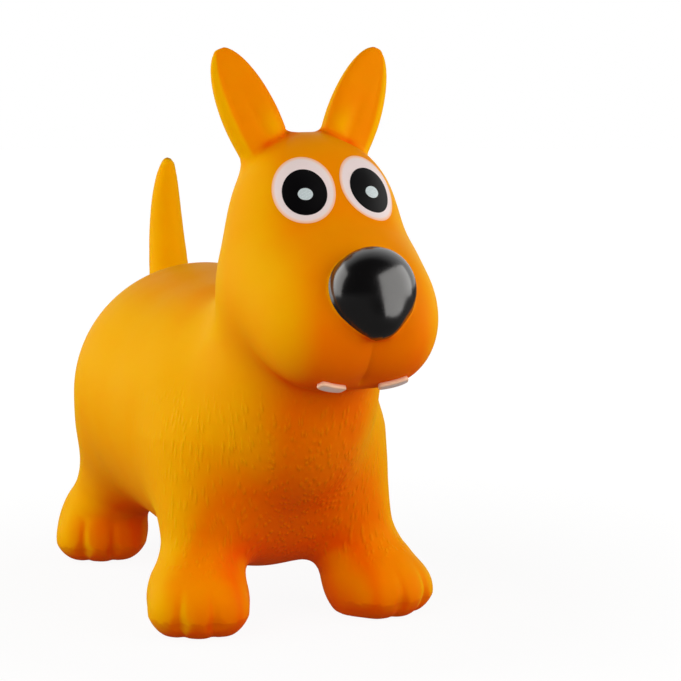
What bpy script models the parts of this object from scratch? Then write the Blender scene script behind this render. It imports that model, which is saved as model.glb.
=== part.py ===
"""Bouncy ride-on animal: a hollow moulded skin, the paint of its face, and its air plug.

The animal faces -Y, its left side is +X and up is +Z. The origin is on the floor, under the
middle of the animal. All sizes are in metres.

The skin is drawn as balls and tapered limbs that melt into each other. The balls and limbs are
Blender primitives, joined by a voxel remesh, and the joined surface is then drawn onto the
smooth blend of the same forms. The hollow is the same blend, one wall further in.
"""

import math

import bmesh
import bpy
import numpy as np
from mathutils import Matrix, Vector

# Shared clearances
GAP = 0.0003
OVERRUN = 0.004
MERGE_DISTANCE = 0.00005
SHARP_ANGLE = math.radians(40)

# Skin
WALL = 0.0019
SKIN_GRAIN = 0.006
SKIN_TRIANGLES = 6400
HOLLOW_TRIANGLES = 2600
SPHERE_STEPS = 4
DRAWING_ROUNDS = 4
SMOOTHING_ROUNDS = 3
SMOOTHING_SHARE = 0.5
SLOPE_STEP_SHARE = 0.01
LEAST_SLOPE_SQUARED = 0.1
HALVINGS = 40

# Rump, the rear ball of the body
RUMP_WIDTH = 0.286
RUMP_LENGTH = 0.294
RUMP_DEPTH = 0.281
RUMP_BACK = 0.157
RUMP_RISE = 0.198

# Chest, the front ball of the body
CHEST_WIDTH = 0.247
CHEST_LENGTH = 0.241
CHEST_DEPTH = 0.292
CHEST_BACK = 0.0055
CHEST_RISE = 0.185
BODY_BLEND = 0.087

# Neck, placed from the chest
NECK_WIDTH = 0.165
NECK_LENGTH = 0.156
NECK_DEPTH = 0.290
NECK_AHEAD_OF_CHEST = 0.1145
NECK_ABOVE_CHEST = 0.097
NECK_BLEND = 0.060

# Muzzle, the wide lower half of the head, placed from the neck
MUZZLE_WIDTH = 0.188
MUZZLE_LENGTH = 0.204
MUZZLE_DEPTH = 0.158
MUZZLE_AHEAD_OF_NECK = 0.073
MUZZLE_ABOVE_NECK = 0.056
MUZZLE_BLEND = 0.040

# Jowls, one each side of the chin, placed from the muzzle
JOWL_WIDTH = 0.100
JOWL_LENGTH = 0.108
JOWL_DEPTH = 0.108
JOWL_APART = 0.060
JOWL_AHEAD_OF_MUZZLE = 0.052
JOWL_BELOW_MUZZLE = 0.024
JOWL_BLEND = 0.030

# Face, the upper half of the head, placed from the muzzle
FACE_WIDTH = 0.146
FACE_LENGTH = 0.104
FACE_DEPTH = 0.170
FACE_BEHIND_MUZZLE = 0.037
FACE_ABOVE_MUZZLE = 0.0505
FACE_BLEND = 0.060

# Brows, the two flats that carry the eyes, placed from the face
BROW_WIDTH = 0.084
BROW_LENGTH = 0.120
BROW_DEPTH = 0.104
BROW_APART = 0.057
BROW_AHEAD_OF_FACE = -0.003
BROW_ABOVE_FACE = 0.034
BROW_BLEND = 0.030

# Crown, the top of the head, placed from the face
CROWN_WIDTH = 0.092
CROWN_LENGTH = 0.112
CROWN_DEPTH = 0.100
CROWN_BEHIND_FACE = 0.023
CROWN_ABOVE_FACE = 0.048
CROWN_BLEND = 0.030

# Nose ball and its lower point, placed from the muzzle
NOSE_WIDTH = 0.081
NOSE_LENGTH = 0.064
NOSE_DEPTH = 0.080
NOSE_AHEAD_OF_MUZZLE = 0.101
NOSE_ABOVE_MUZZLE = 0.0165
NOSE_BLEND = 0.005
NOSE_POINT_SIZE = 0.032
NOSE_POINT_AHEAD_OF_NOSE = 0.015
NOSE_POINT_BELOW_NOSE = 0.024

# Ears, tapered leaves placed from the crown
EAR_ROOT_APART = 0.0795
EAR_ROOT_ABOVE_CROWN = 0.038
EAR_LEAN_OUT = 0.0430
EAR_LEAN_BACK = 0.0125
EAR_LENGTH_UP = 0.1010
EAR_ROOT_WIDTH = 0.047
EAR_FULL_WIDTH = 0.0550
EAR_ROOT_THICKNESS = 0.026
EAR_TIP_THICKNESS = 0.012
EAR_FULL_SHARE = 0.38
EAR_TIP_SHARE = 0.97
EAR_TAPER = 0.6
EAR_ROOT_SUNK = 0.014
EAR_BLEND = 0.010
EAR_HOLLOW_SHARE = 0.55

# Front legs, from the shoulder in the chest to the ankle
SHOULDER_APART = 0.120
SHOULDER_AHEAD_OF_CHEST = 0.045
SHOULDER_RISE = 0.155
SHOULDER_RADIUS = 0.048
FRONT_ANKLE_APART = 0.195
FRONT_ANKLE_AHEAD_OF_SHOULDER = 0.022
FRONT_ANKLE_RISE = 0.048
FRONT_ANKLE_RADIUS = 0.033
LEG_BLEND = 0.055

# Rear legs, from the hip in the rump to the ankle
HIP_APART = 0.131
HIP_BEHIND_RUMP = 0.053
HIP_RISE = 0.132
HIP_RADIUS = 0.044
REAR_ANKLE_APART = 0.174
REAR_ANKLE_BEHIND_HIP = 0.051
REAR_ANKLE_RISE = 0.058
REAR_ANKLE_RADIUS = 0.038

# Paws, placed from the ankles and turned out
PAW_TURN_OUT = math.radians(22)
PAW_RISE = 0.0255
PAW_BLEND = 0.032
FRONT_PAW_WIDTH = 0.0995
FRONT_PAW_LENGTH = 0.1025
FRONT_PAW_DEPTH = 0.0865
FRONT_PAW_AHEAD_OF_ANKLE = 0.016
FRONT_PAW_OUT_FROM_ANKLE = -0.002
REAR_PAW_WIDTH = 0.099
REAR_PAW_LENGTH = 0.101
REAR_PAW_DEPTH = 0.078
REAR_PAW_AHEAD_OF_ANKLE = -0.0045
REAR_PAW_OUT_FROM_ANKLE = -0.001

# Toes, three to a paw, as shares of the paw that carries them
TOE_RISE = 0.0215
TOE_SIDE_SHARES = (-0.50, 0.0, 0.50)
TOE_AHEAD_SHARES = (0.55, 0.70, 0.55)
TOE_WIDTH_SHARE = 0.44
TOE_LENGTH_SHARE = 0.44
TOE_DEPTH_SHARE = 0.60
TOE_BLEND = 0.014

# Tail, a curved horn placed from the rump
TAIL_ROOT_BEHIND_RUMP = 0.1065
TAIL_ROOT_ABOVE_RUMP = 0.081
TAIL_ROOT_RADIUS = 0.0245
TAIL_BEND_BACK = 0.035
TAIL_BEND_UP = 0.108
TAIL_TIP_BACK = 0.010
TAIL_TIP_UP = 0.166
TAIL_TAPER = 0.42
TAIL_TIP_SHARE = 0.985
TAIL_MARKS = 17
TAIL_NEARING_ROUNDS = 3
TAIL_HOLLOW_SHARE = 0.6
TAIL_BLEND = 0.014

# Eyes, painted on the brows in three coats
EYE_APART = 0.0668
EYE_RISE_ABOVE_BROW = 0.0175
EYE_TURN_OUT = math.radians(13)
EYE_LOOK_UP = math.radians(20)
WHITE_WIDTH = 0.059
WHITE_HEIGHT = 0.0695
WHITE_ABOVE_PUPIL = 0.003
PUPIL_WIDTH = 0.042
PUPIL_HEIGHT = 0.047
GLINT_WIDTH = 0.014
GLINT_HEIGHT = 0.012
GLINT_BELOW_PUPIL = 0.0025
COAT = 0.0006
NOSE_COAT = 0.0009
NOSE_COAT_MARGIN = 0.0020
EYE_CUTTER_SIDES = 40
EYE_CUTTER_REACH = 0.030

# Teeth, two raised blocks on the lower edge of the jowls
TOOTH_WIDTH = 0.028
TOOTH_HEIGHT = 0.0115
TOOTH_RAISED = 0.0040
TOOTH_APART = 0.0615
TOOTH_AHEAD_OF_JOWL = 0.026
TOOTH_LOOK_DOWN = math.radians(48)
TOOTH_ROLL = math.radians(4)
TOOTH_REACH = 0.016
TOOTH_ROUNDING = 0.003
TOOTH_ROUNDING_STEPS = 3

# Air valve, a thick moulded pad under the belly, and its plug
VALVE_BACK = 0.080
PAD_RADIUS = 0.017
PAD_THICKNESS = 0.0075
PAD_STANDS_PROUD = 0.0008
PLUG_HOLE_RADIUS = 0.0055
PLUG_FLANGE_RADIUS = 0.0125
PLUG_FLANGE_THICKNESS = 0.0028
PLUG_STEM_LENGTH = 0.0120
PLUG_TIP_LENGTH = 0.0030
PLUG_TIP_TAPER = 0.0012
PLUG_EDGE = 0.0006
PLUG_DIMPLE_RADIUS = 0.0050
PLUG_DIMPLE_DEPTH = 0.0010
PLUG_STEPS = 32


class Ball:
    """An ellipsoid given by its middle and its full sizes. A ball off the middle plane has a twin."""

    def __init__(self, middle, size):
        self.middle = np.array(middle, float)
        self.radii = np.array(size, float) / 2

    def distance(self, points, inset):
        """How far points are from the surface, once it is drawn in by the inset."""
        radii = self.radii - inset
        offset = points - self.middle
        near = np.linalg.norm(offset / radii, axis=1)
        far = np.linalg.norm(offset / radii**2, axis=1)
        return near * (near - 1) / np.maximum(far, np.finfo(float).tiny)

    def add_to(self, shape, inset, side):
        """Adds the ball's mesh, on the left for side 1 and on the right for side -1."""
        place = Vector(self.middle)
        place.x *= side
        size = Matrix.Diagonal((*(self.radii - inset), 1))
        bmesh.ops.create_icosphere(
            shape, subdivisions=SPHERE_STEPS, radius=1, matrix=Matrix.Translation(place) @ size
        )


class Limb:
    """A tapered limb with round ends, from one point and radius to another."""

    def __init__(self, start, end, start_radius, end_radius):
        self.start = np.array(start, float)
        self.end = np.array(end, float)
        self.radii = (start_radius, end_radius)
        self.middle = (self.start + self.end) / 2

    def distance(self, points, inset):
        """How far points are from the surface, once it is drawn in by the inset."""
        first, last = (radius - inset for radius in self.radii)
        axis = self.end - self.start
        length = np.linalg.norm(axis)
        axis = axis / length
        along = (points - self.start) @ axis
        aside = np.linalg.norm(points - self.start - along[:, None] * axis, axis=1)
        slope = (first - last) / length
        drop = math.sqrt(1 - slope**2)
        share = np.clip((along * drop + aside * slope) / (length * drop), 0, 1)
        centre = self.start + share[:, None] * (self.end - self.start)
        return np.linalg.norm(points - centre, axis=1) - (first + (last - first) * share)

    def add_to(self, shape, inset, side):
        """Adds the limb's mesh: a sphere pulled apart between its two ends."""
        flip = Vector((side, 1, 1))
        start = Vector(self.start) * flip
        end = Vector(self.end) * flip
        turn = (end - start).to_track_quat("Z", "Y")
        made = bmesh.ops.create_icosphere(shape, subdivisions=SPHERE_STEPS, radius=1)
        for vertex in made["verts"]:
            upper = vertex.co.z > 0
            radius = self.radii[1] - inset if upper else self.radii[0] - inset
            vertex.co = (end if upper else start) + turn @ (vertex.co * radius)


class Leaf:
    """An ear: a flat leaf that is widest part of the way up and comes to a round tip."""

    def __init__(self, root, tip, root_size, full_width, tip_thickness, full_share):
        self.root = np.array(root, float)
        self.middle = self.root
        self.length = float(np.linalg.norm(np.array(tip) - self.root))
        self.up = (np.array(tip) - self.root) / self.length
        self.wide = np.cross(self.up, (0, 1, 0))
        self.wide /= np.linalg.norm(self.wide)
        self.thin = np.cross(self.wide, self.up)
        self.root_size = np.array(root_size) / 2
        self.full_width = full_width / 2
        self.tip_thickness = tip_thickness / 2
        self.full_share = full_share

    def half_sizes(self, share):
        """The leaf's half width and half thickness at a share of its length."""
        rise = np.clip(share / self.full_share, 0, 1)
        fall = np.clip((share - self.full_share) / (1 - self.full_share), 0, 1)
        taper = np.maximum(1 - fall**2, 0) ** EAR_TAPER
        root_width, root_thickness = self.root_size
        width = root_width + (self.full_width - root_width) * np.sin(rise * math.pi / 2)
        thickness = root_thickness + (self.tip_thickness - root_thickness) * fall
        return width * taper, thickness * np.sqrt(taper)

    def distance(self, points, inset):
        """About how far points are from the surface, once it is drawn in by the inset."""
        offset = points - self.root
        share = offset @ self.up / self.length
        width, thickness = self.half_sizes(np.minimum(share, EAR_TIP_SHARE))
        over = np.maximum(share - EAR_TIP_SHARE, 0) * self.length
        over = over + np.minimum(share, 0) * self.length
        sizes = np.stack((width, thickness, thickness), axis=1) - inset
        flat = np.stack((offset @ self.wide, offset @ self.thin, over), axis=1)
        near = np.linalg.norm(flat / sizes, axis=1)
        return (near - 1) * np.minimum(width, thickness)

    def add_to(self, shape, inset, side):
        """Adds the leaf's mesh: a sphere pulled along the ear and flattened across it."""
        flip = Vector((side, 1, 1))
        made = bmesh.ops.create_icosphere(shape, subdivisions=SPHERE_STEPS, radius=1)
        for vertex in made["verts"]:
            share = (vertex.co.z + 1) / 2
            width, thickness = self.half_sizes(np.array(share))
            around = vertex.co.xy.normalized()
            place = self.root + self.up * self.length * share
            place = place + self.wide * around.x * (width - inset)
            place = place + self.thin * around.y * (thickness - inset)
            vertex.co = Vector(place) * flip


class Horn:
    """The tail: a curved horn that tapers to a round tip."""

    def __init__(self, root, bend, tip, root_radius):
        self.root = np.array(root, float)
        self.middle = np.array(bend, float)
        self.tip = np.array(tip, float)
        self.root_radius = root_radius

    def point(self, share):
        """Points of the horn's axis, a curve drawn towards the bend."""
        share = np.asarray(share)[..., None]
        inner = 2 * share * (1 - share) * self.middle
        return (1 - share) ** 2 * self.root + inner + share**2 * self.tip

    def radius(self, share):
        """The horn's radius at shares of its length."""
        return self.root_radius * (1 - share * TAIL_TIP_SHARE) ** TAIL_TAPER

    def part(self, share):
        """A shorter horn on the same axis, which comes to its own tip at a share of the length."""
        bend = self.root + (self.middle - self.root) * share
        return Horn(self.root, bend, self.point(share), self.root_radius)

    def nearest(self, points):
        """The share of the axis that is nearest to each point."""
        marks = np.linspace(0, 1, TAIL_MARKS)
        gaps = np.linalg.norm(points[:, None] - self.point(marks), axis=2)
        share = marks[gaps.argmin(axis=1)]
        turn = 2 * (self.tip - 2 * self.middle + self.root)
        for _ in range(TAIL_NEARING_ROUNDS):
            offset = self.point(share) - points
            along = 2 * (self.middle - self.root) + share[:, None] * turn
            steepness = (along**2).sum(axis=1) + offset @ turn
            move = (offset * along).sum(axis=1) / np.maximum(steepness, np.finfo(float).tiny)
            share = np.clip(share - move, 0, 1)
        return share

    def distance(self, points, inset):
        """How far points are from the surface, once it is drawn in by the inset."""
        share = self.nearest(points)
        return np.linalg.norm(points - self.point(share), axis=1) - (self.radius(share) - inset)

    def add_to(self, shape, inset, side):
        """Adds the horn's mesh: a sphere pulled along its axis."""
        flip = Vector((side, 1, 1))
        made = bmesh.ops.create_icosphere(shape, subdivisions=SPHERE_STEPS, radius=1)
        for vertex in made["verts"]:
            share = (vertex.co.z + 1) / 2
            around = vertex.co.xy.normalized().to_3d() * (self.radius(share) - inset)
            vertex.co = (Vector(self.point(share)) + around) * flip


def paw_forms(place, size, toes=True):
    """A paw: its pad, and three toes along its front edge, turned out about the ankle."""
    forms = [(Ball((*place[:2], PAW_RISE), size), PAW_BLEND)]
    if not toes:
        return forms
    half = np.array(size) / 2
    turn = np.array(Matrix.Rotation(PAW_TURN_OUT, 3, "Z"))
    toe_size = np.array(size) * (TOE_WIDTH_SHARE, TOE_LENGTH_SHARE, TOE_DEPTH_SHARE)
    for side_share, ahead_share in zip(TOE_SIDE_SHARES, TOE_AHEAD_SHARES):
        offset = turn @ np.array((side_share * half[0], -ahead_share * half[1], 0))
        middle = (place[0] + offset[0], place[1] + offset[1], TOE_RISE)
        forms.append((Ball(middle, toe_size), TOE_BLEND))
    return forms


def leg_forms(hollow):
    """The four legs and paws, as their left halves."""
    shoulder = (SHOULDER_APART / 2, CHEST_BACK - SHOULDER_AHEAD_OF_CHEST, SHOULDER_RISE)
    front_ankle = (
        FRONT_ANKLE_APART / 2,
        shoulder[1] - FRONT_ANKLE_AHEAD_OF_SHOULDER,
        FRONT_ANKLE_RISE,
    )
    hip = (HIP_APART / 2, RUMP_BACK + HIP_BEHIND_RUMP, HIP_RISE)
    rear_ankle = (REAR_ANKLE_APART / 2, hip[1] + REAR_ANKLE_BEHIND_HIP, REAR_ANKLE_RISE)
    front_paw = (
        front_ankle[0] + FRONT_PAW_OUT_FROM_ANKLE,
        front_ankle[1] - FRONT_PAW_AHEAD_OF_ANKLE,
    )
    rear_paw = (
        rear_ankle[0] + REAR_PAW_OUT_FROM_ANKLE,
        rear_ankle[1] - REAR_PAW_AHEAD_OF_ANKLE,
    )
    front_leg = Limb(shoulder, front_ankle, SHOULDER_RADIUS, FRONT_ANKLE_RADIUS)
    rear_leg = Limb(hip, rear_ankle, HIP_RADIUS, REAR_ANKLE_RADIUS)
    front_size = (FRONT_PAW_WIDTH, FRONT_PAW_LENGTH, FRONT_PAW_DEPTH)
    rear_size = (REAR_PAW_WIDTH, REAR_PAW_LENGTH, REAR_PAW_DEPTH)
    return [
        (front_leg, LEG_BLEND),
        *paw_forms(front_paw, front_size, toes=not hollow),
        (rear_leg, LEG_BLEND),
        *paw_forms(rear_paw, rear_size, toes=not hollow),
    ]


def torso_forms():
    """The rump and the chest, which melt into one barrel."""
    rump = Ball((0, RUMP_BACK, RUMP_RISE), (RUMP_WIDTH, RUMP_LENGTH, RUMP_DEPTH))
    chest = Ball((0, CHEST_BACK, CHEST_RISE), (CHEST_WIDTH, CHEST_LENGTH, CHEST_DEPTH))
    return [(rump, BODY_BLEND), (chest, BODY_BLEND)]


def muzzle_middle():
    """The middle of the muzzle, from which the rest of the head is placed."""
    neck_back = CHEST_BACK - NECK_AHEAD_OF_CHEST
    neck_rise = CHEST_RISE + NECK_ABOVE_CHEST
    return neck_back - MUZZLE_AHEAD_OF_NECK, neck_rise + MUZZLE_ABOVE_NECK


def face_middle():
    """The middle of the upper half of the head."""
    back, rise = muzzle_middle()
    return back + FACE_BEHIND_MUZZLE, rise + FACE_ABOVE_MUZZLE


def crown_middle():
    """The middle of the top of the head."""
    back, rise = face_middle()
    return back + CROWN_BEHIND_FACE, rise + CROWN_ABOVE_FACE


def head_forms():
    """The neck and the head without its nose and ears."""
    back, rise = muzzle_middle()
    face_back, face_rise = face_middle()
    neck = Ball(
        (0, CHEST_BACK - NECK_AHEAD_OF_CHEST, CHEST_RISE + NECK_ABOVE_CHEST),
        (NECK_WIDTH, NECK_LENGTH, NECK_DEPTH),
    )
    muzzle = Ball((0, back, rise), (MUZZLE_WIDTH, MUZZLE_LENGTH, MUZZLE_DEPTH))
    jowl = Ball(
        (JOWL_APART / 2, back - JOWL_AHEAD_OF_MUZZLE, rise - JOWL_BELOW_MUZZLE),
        (JOWL_WIDTH, JOWL_LENGTH, JOWL_DEPTH),
    )
    face = Ball((0, face_back, face_rise), (FACE_WIDTH, FACE_LENGTH, FACE_DEPTH))
    brow = Ball(
        (BROW_APART / 2, face_back - BROW_AHEAD_OF_FACE, face_rise + BROW_ABOVE_FACE),
        (BROW_WIDTH, BROW_LENGTH, BROW_DEPTH),
    )
    crown = Ball((0, *crown_middle()), (CROWN_WIDTH, CROWN_LENGTH, CROWN_DEPTH))
    return [
        (neck, NECK_BLEND),
        (muzzle, MUZZLE_BLEND),
        (jowl, JOWL_BLEND),
        (face, FACE_BLEND),
        (brow, BROW_BLEND),
        (crown, CROWN_BLEND),
    ]


def nose_forms(margin=0.0):
    """The nose ball and its lower point, both larger all round by the margin."""
    back, rise = muzzle_middle()
    nose_back = back - NOSE_AHEAD_OF_MUZZLE
    nose_rise = rise + NOSE_ABOVE_MUZZLE
    grown = np.array((NOSE_WIDTH, NOSE_LENGTH, NOSE_DEPTH)) + 2 * margin
    ball = Ball((0, nose_back, nose_rise), grown)
    point_size = np.full(3, NOSE_POINT_SIZE) + 2 * margin
    point_middle = (
        0,
        nose_back - NOSE_POINT_AHEAD_OF_NOSE,
        nose_rise - NOSE_POINT_BELOW_NOSE,
    )
    return [(ball, NOSE_BLEND), (Ball(point_middle, point_size), NOSE_POINT_SIZE / 2)]


def ear_forms(hollow):
    """The left ear, or the round hollow in its lower part."""
    crown_back, crown_rise = crown_middle()
    root = np.array((EAR_ROOT_APART / 2, crown_back, crown_rise + EAR_ROOT_ABOVE_CROWN))
    lean = np.array((EAR_LEAN_OUT, EAR_LEAN_BACK, EAR_LENGTH_UP))
    sunk = root - lean / np.linalg.norm(lean) * EAR_ROOT_SUNK
    tip = root + lean
    if hollow:
        end = root + lean * EAR_HOLLOW_SHARE
        hollow_root = EAR_ROOT_THICKNESS / 2
        hollow_end = (EAR_ROOT_THICKNESS + EAR_TIP_THICKNESS) / 4
        return [(Limb(sunk, end, hollow_root, hollow_end), EAR_BLEND)]
    leaf = Leaf(
        sunk,
        tip,
        (EAR_ROOT_WIDTH, EAR_ROOT_THICKNESS),
        EAR_FULL_WIDTH,
        EAR_TIP_THICKNESS,
        EAR_FULL_SHARE,
    )
    return [(leaf, EAR_BLEND)]


def tail_forms(hollow):
    """The tail. Its hollow stops part of the way up."""
    root = (0, RUMP_BACK + TAIL_ROOT_BEHIND_RUMP, RUMP_RISE + TAIL_ROOT_ABOVE_RUMP)
    bend = (0, root[1] + TAIL_BEND_BACK, root[2] + TAIL_BEND_UP)
    tip = (0, root[1] + TAIL_TIP_BACK, root[2] + TAIL_TIP_UP)
    horn = Horn(root, bend, tip, TAIL_ROOT_RADIUS)
    return [(horn.part(TAIL_HOLLOW_SHARE) if hollow else horn, TAIL_BLEND)]


def skin_forms(hollow=False):
    """Every form of the skin with the length over which it melts into those before it."""
    return [
        *torso_forms(),
        *head_forms(),
        *nose_forms(),
        *leg_forms(hollow),
        *ear_forms(hollow),
        *tail_forms(hollow),
    ]


def smooth_least(first, second, blend):
    """The lesser of two distances, rounded where they are within the blend of each other."""
    near = np.maximum(blend - np.abs(first - second), 0) / blend
    return np.minimum(first, second) - near**2 * blend / 4


def blended_distance(points, forms, inset):
    """How far points are from the blended skin, drawn in by the inset."""
    total = None
    mirrored = points * (-1, 1, 1)
    for form, blend in forms:
        distance = form.distance(points, inset)
        if form.middle[0] > 0:
            distance = smooth_least(distance, form.distance(mirrored, inset), blend)
        total = distance if total is None else smooth_least(total, distance, blend)
    return total


def draw_onto_blend(mesh, forms, inset):
    """Moves a mesh's vertices along the slope of the blend until they lie on it."""
    points = np.empty(len(mesh.vertices) * 3)
    mesh.vertices.foreach_get("co", points)
    points = points.reshape(-1, 3)
    step = SKIN_GRAIN * SLOPE_STEP_SHARE
    for _ in range(DRAWING_ROUNDS):
        distance = blended_distance(points, forms, inset)
        slope = np.empty_like(points)
        for axis, shift in enumerate(np.eye(3) * step):
            ahead = blended_distance(points + shift, forms, inset)
            slope[:, axis] = (ahead - distance) / step
        steepness = np.maximum((slope**2).sum(axis=1), LEAST_SLOPE_SQUARED)
        move = np.clip(distance / steepness, -SKIN_GRAIN, SKIN_GRAIN)
        points = points - slope * move[:, None]
    mesh.vertices.foreach_set("co", points.ravel())
    mesh.update()


def evaluated_mesh(source, name):
    """A plain mesh of an object as its modifiers leave it."""
    bpy.context.view_layer.update()
    graph = bpy.context.evaluated_depsgraph_get()
    mesh = bpy.data.meshes.new_from_object(source.evaluated_get(graph))
    mesh.name = name
    return mesh


def blended_mesh(name, forms, inset):
    """The closed surface of some forms, drawn in by the inset: joined, mirrored and smoothed."""
    shape = bmesh.new()
    for form, _ in forms:
        form.add_to(shape, inset, 1)
        if form.middle[0] > 0:
            form.add_to(shape, inset, -1)
    rough = bpy.data.meshes.new(name + "_rough")
    shape.to_mesh(rough)
    shape.free()
    joined = bpy.data.objects.new(name + "_rough", rough)
    bpy.context.scene.collection.objects.link(joined)
    remesh = joined.modifiers.new("join", "REMESH")
    remesh.mode = "VOXEL"
    remesh.voxel_size = SKIN_GRAIN
    mirror = joined.modifiers.new("halves", "MIRROR")
    mirror.use_bisect_axis[0] = True
    mirror.merge_threshold = MERGE_DISTANCE
    mesh = evaluated_mesh(joined, name)
    bpy.data.objects.remove(joined)
    draw_onto_blend(mesh, forms, inset)
    smooth = bmesh.new()
    smooth.from_mesh(mesh)
    for _ in range(SMOOTHING_ROUNDS):
        bmesh.ops.smooth_vert(smooth, verts=smooth.verts, factor=SMOOTHING_SHARE)
    smooth.to_mesh(mesh)
    smooth.free()
    draw_onto_blend(mesh, forms, inset)
    return mesh


def new_collection(name):
    """An empty collection in the scene."""
    collection = bpy.data.collections.new(name)
    bpy.context.scene.collection.children.link(collection)
    return collection


def new_material(name, colour, roughness, coat=0.0):
    """A Principled material of one colour."""
    material = bpy.data.materials.new(name)
    material.use_nodes = True
    shader = material.node_tree.nodes["Principled BSDF"]
    shader.inputs["Base Color"].default_value = (*colour, 1)
    shader.inputs["Roughness"].default_value = roughness
    shader.inputs["Metallic"].default_value = 0
    shader.inputs["Coat Weight"].default_value = coat
    return material


def add_object(name, mesh, collection, material=None):
    """An object with a mesh, in a collection, shaded smooth up to sharp edges."""
    thing = bpy.data.objects.new(name, mesh)
    collection.objects.link(thing)
    if material:
        mesh.materials.clear()
        mesh.materials.append(material)
    return thing


def add_cutter(name, mesh, collection):
    """A cutter, which shows as a wire and isn't part of the model."""
    cutter = add_object(name, mesh, collection)
    cutter.hide_render = True
    cutter.display_type = "WIRE"
    return cutter


def add_boolean(thing, cutter, operation):
    """An exact Boolean with another object."""
    boolean = thing.modifiers.new(operation.lower() + "_" + cutter.name, "BOOLEAN")
    boolean.object = cutter
    boolean.operation = operation
    boolean.solver = "EXACT"


def add_thinning(thing, triangles):
    """Collapses a fine mesh to about so many triangles, alike on both sides."""
    mesh = thing.data
    count = sum(len(face.vertices) - 2 for face in mesh.polygons)
    thin = thing.modifiers.new("thin_out", "DECIMATE")
    thin.ratio = min(1.0, triangles / count)
    thin.use_symmetry = True
    thin.symmetry_axis = "X"
    thin.use_collapse_triangulate = True


def box_mesh(name, low, high):
    """A box between two corners."""
    shape = bmesh.new()
    size = Vector(high) - Vector(low)
    middle = (Vector(high) + Vector(low)) / 2
    place = Matrix.Translation(middle) @ Matrix.Diagonal((*size, 1))
    bmesh.ops.create_cube(shape, size=1, matrix=place)
    mesh = bpy.data.meshes.new(name)
    shape.to_mesh(mesh)
    shape.free()
    return mesh


def disc_mesh(name, radius, bottom, top):
    """An upright round cutter on the valve's axis."""
    shape = bmesh.new()
    place = Matrix.Translation((0, VALVE_BACK, (bottom + top) / 2))
    bmesh.ops.create_cone(
        shape,
        cap_ends=True,
        segments=PLUG_STEPS,
        radius1=radius,
        radius2=radius,
        depth=top - bottom,
        matrix=place,
    )
    mesh = bpy.data.meshes.new(name)
    shape.to_mesh(mesh)
    shape.free()
    return mesh


def surface_along(start, direction, reach):
    """The distance from an inside point to the skin along a direction, found by halving."""
    near, far = 0.0, reach
    forms = skin_forms()
    for _ in range(HALVINGS):
        middle = (near + far) / 2
        point = np.array(start) + np.array(direction) * middle
        if blended_distance(point[None], forms, 0.0)[0] < 0:
            near = middle
        else:
            far = middle
    return near


def eye_place():
    """The middle of the left pupil on the skin, and the turn that faces a coat outward."""
    face_back, face_rise = face_middle()
    inside = (EYE_APART / 2, face_back, face_rise + BROW_ABOVE_FACE + EYE_RISE_ABOVE_BROW)
    depth = surface_along(inside, (0, -1, 0), MUZZLE_LENGTH)
    place = Vector((inside[0], inside[1] - depth, inside[2]))
    turn = Matrix.Rotation(EYE_TURN_OUT, 4, "Z") @ Matrix.Rotation(-EYE_LOOK_UP, 4, "X")
    return place, turn


def oval_cutter_mesh(name, width, height, shift_up):
    """An oval prism through the left eye, square to the coat."""
    place, turn = eye_place()
    shape = bmesh.new()
    bmesh.ops.create_cone(
        shape,
        cap_ends=True,
        segments=EYE_CUTTER_SIDES,
        radius1=1,
        radius2=1,
        depth=2,
    )
    face_front = Matrix.Rotation(math.pi / 2, 4, "X")
    size = Matrix.Diagonal((width / 2, height / 2, EYE_CUTTER_REACH, 1))
    lift = Matrix.Translation((0, 0, shift_up))
    shape.transform(Matrix.Translation(place) @ turn @ lift @ face_front @ size)
    mesh = bpy.data.meshes.new(name)
    shape.to_mesh(mesh)
    shape.free()
    return mesh


def tooth_cutter_mesh(name):
    """A block with rounded corners through the lower edge of the left jowl."""
    back, rise = muzzle_middle()
    jowl_back = back - JOWL_AHEAD_OF_MUZZLE
    ahead = (TOOTH_APART / 2, jowl_back - TOOTH_AHEAD_OF_JOWL, rise - JOWL_BELOW_MUZZLE)
    depth = surface_along(ahead, (0, 0, -1), JOWL_DEPTH)
    place = Vector((ahead[0], ahead[1], ahead[2] - depth))
    shape = bmesh.new()
    size = Matrix.Diagonal((TOOTH_WIDTH, 2 * TOOTH_REACH, TOOTH_HEIGHT, 1))
    bmesh.ops.create_cube(shape, size=1, matrix=size)
    corners = [edge for edge in shape.edges if abs(edge.verts[0].co.y - edge.verts[1].co.y) > 0]
    bmesh.ops.bevel(
        shape,
        geom=corners,
        offset=TOOTH_ROUNDING,
        segments=TOOTH_ROUNDING_STEPS,
        profile=0.5,
        affect="EDGES",
    )
    turn = Matrix.Rotation(TOOTH_LOOK_DOWN, 4, "X") @ Matrix.Rotation(-TOOTH_ROLL, 4, "Y")
    shape.transform(Matrix.Translation(place) @ turn)
    mesh = bpy.data.meshes.new(name)
    shape.to_mesh(mesh)
    shape.free()
    return mesh


def mirrored_mesh(mesh, name):
    """A copy of a mesh on the other side of the middle plane, with its faces pointing out."""
    shape = bmesh.new()
    shape.from_mesh(mesh)
    shape.transform(Matrix.Diagonal((-1, 1, 1, 1)))
    bmesh.ops.reverse_faces(shape, faces=shape.faces)
    copy = bpy.data.meshes.new(name)
    shape.to_mesh(copy)
    shape.free()
    return copy


def add_lifted_face(name, face_mesh, lift, collection):
    """The front of the head as a solid, pushed out along its normals."""
    lifted = add_cutter(name, face_mesh.copy(), collection)
    push = lifted.modifiers.new("lift", "DISPLACE")
    push.strength = lift
    push.mid_level = 0
    return lifted


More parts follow.
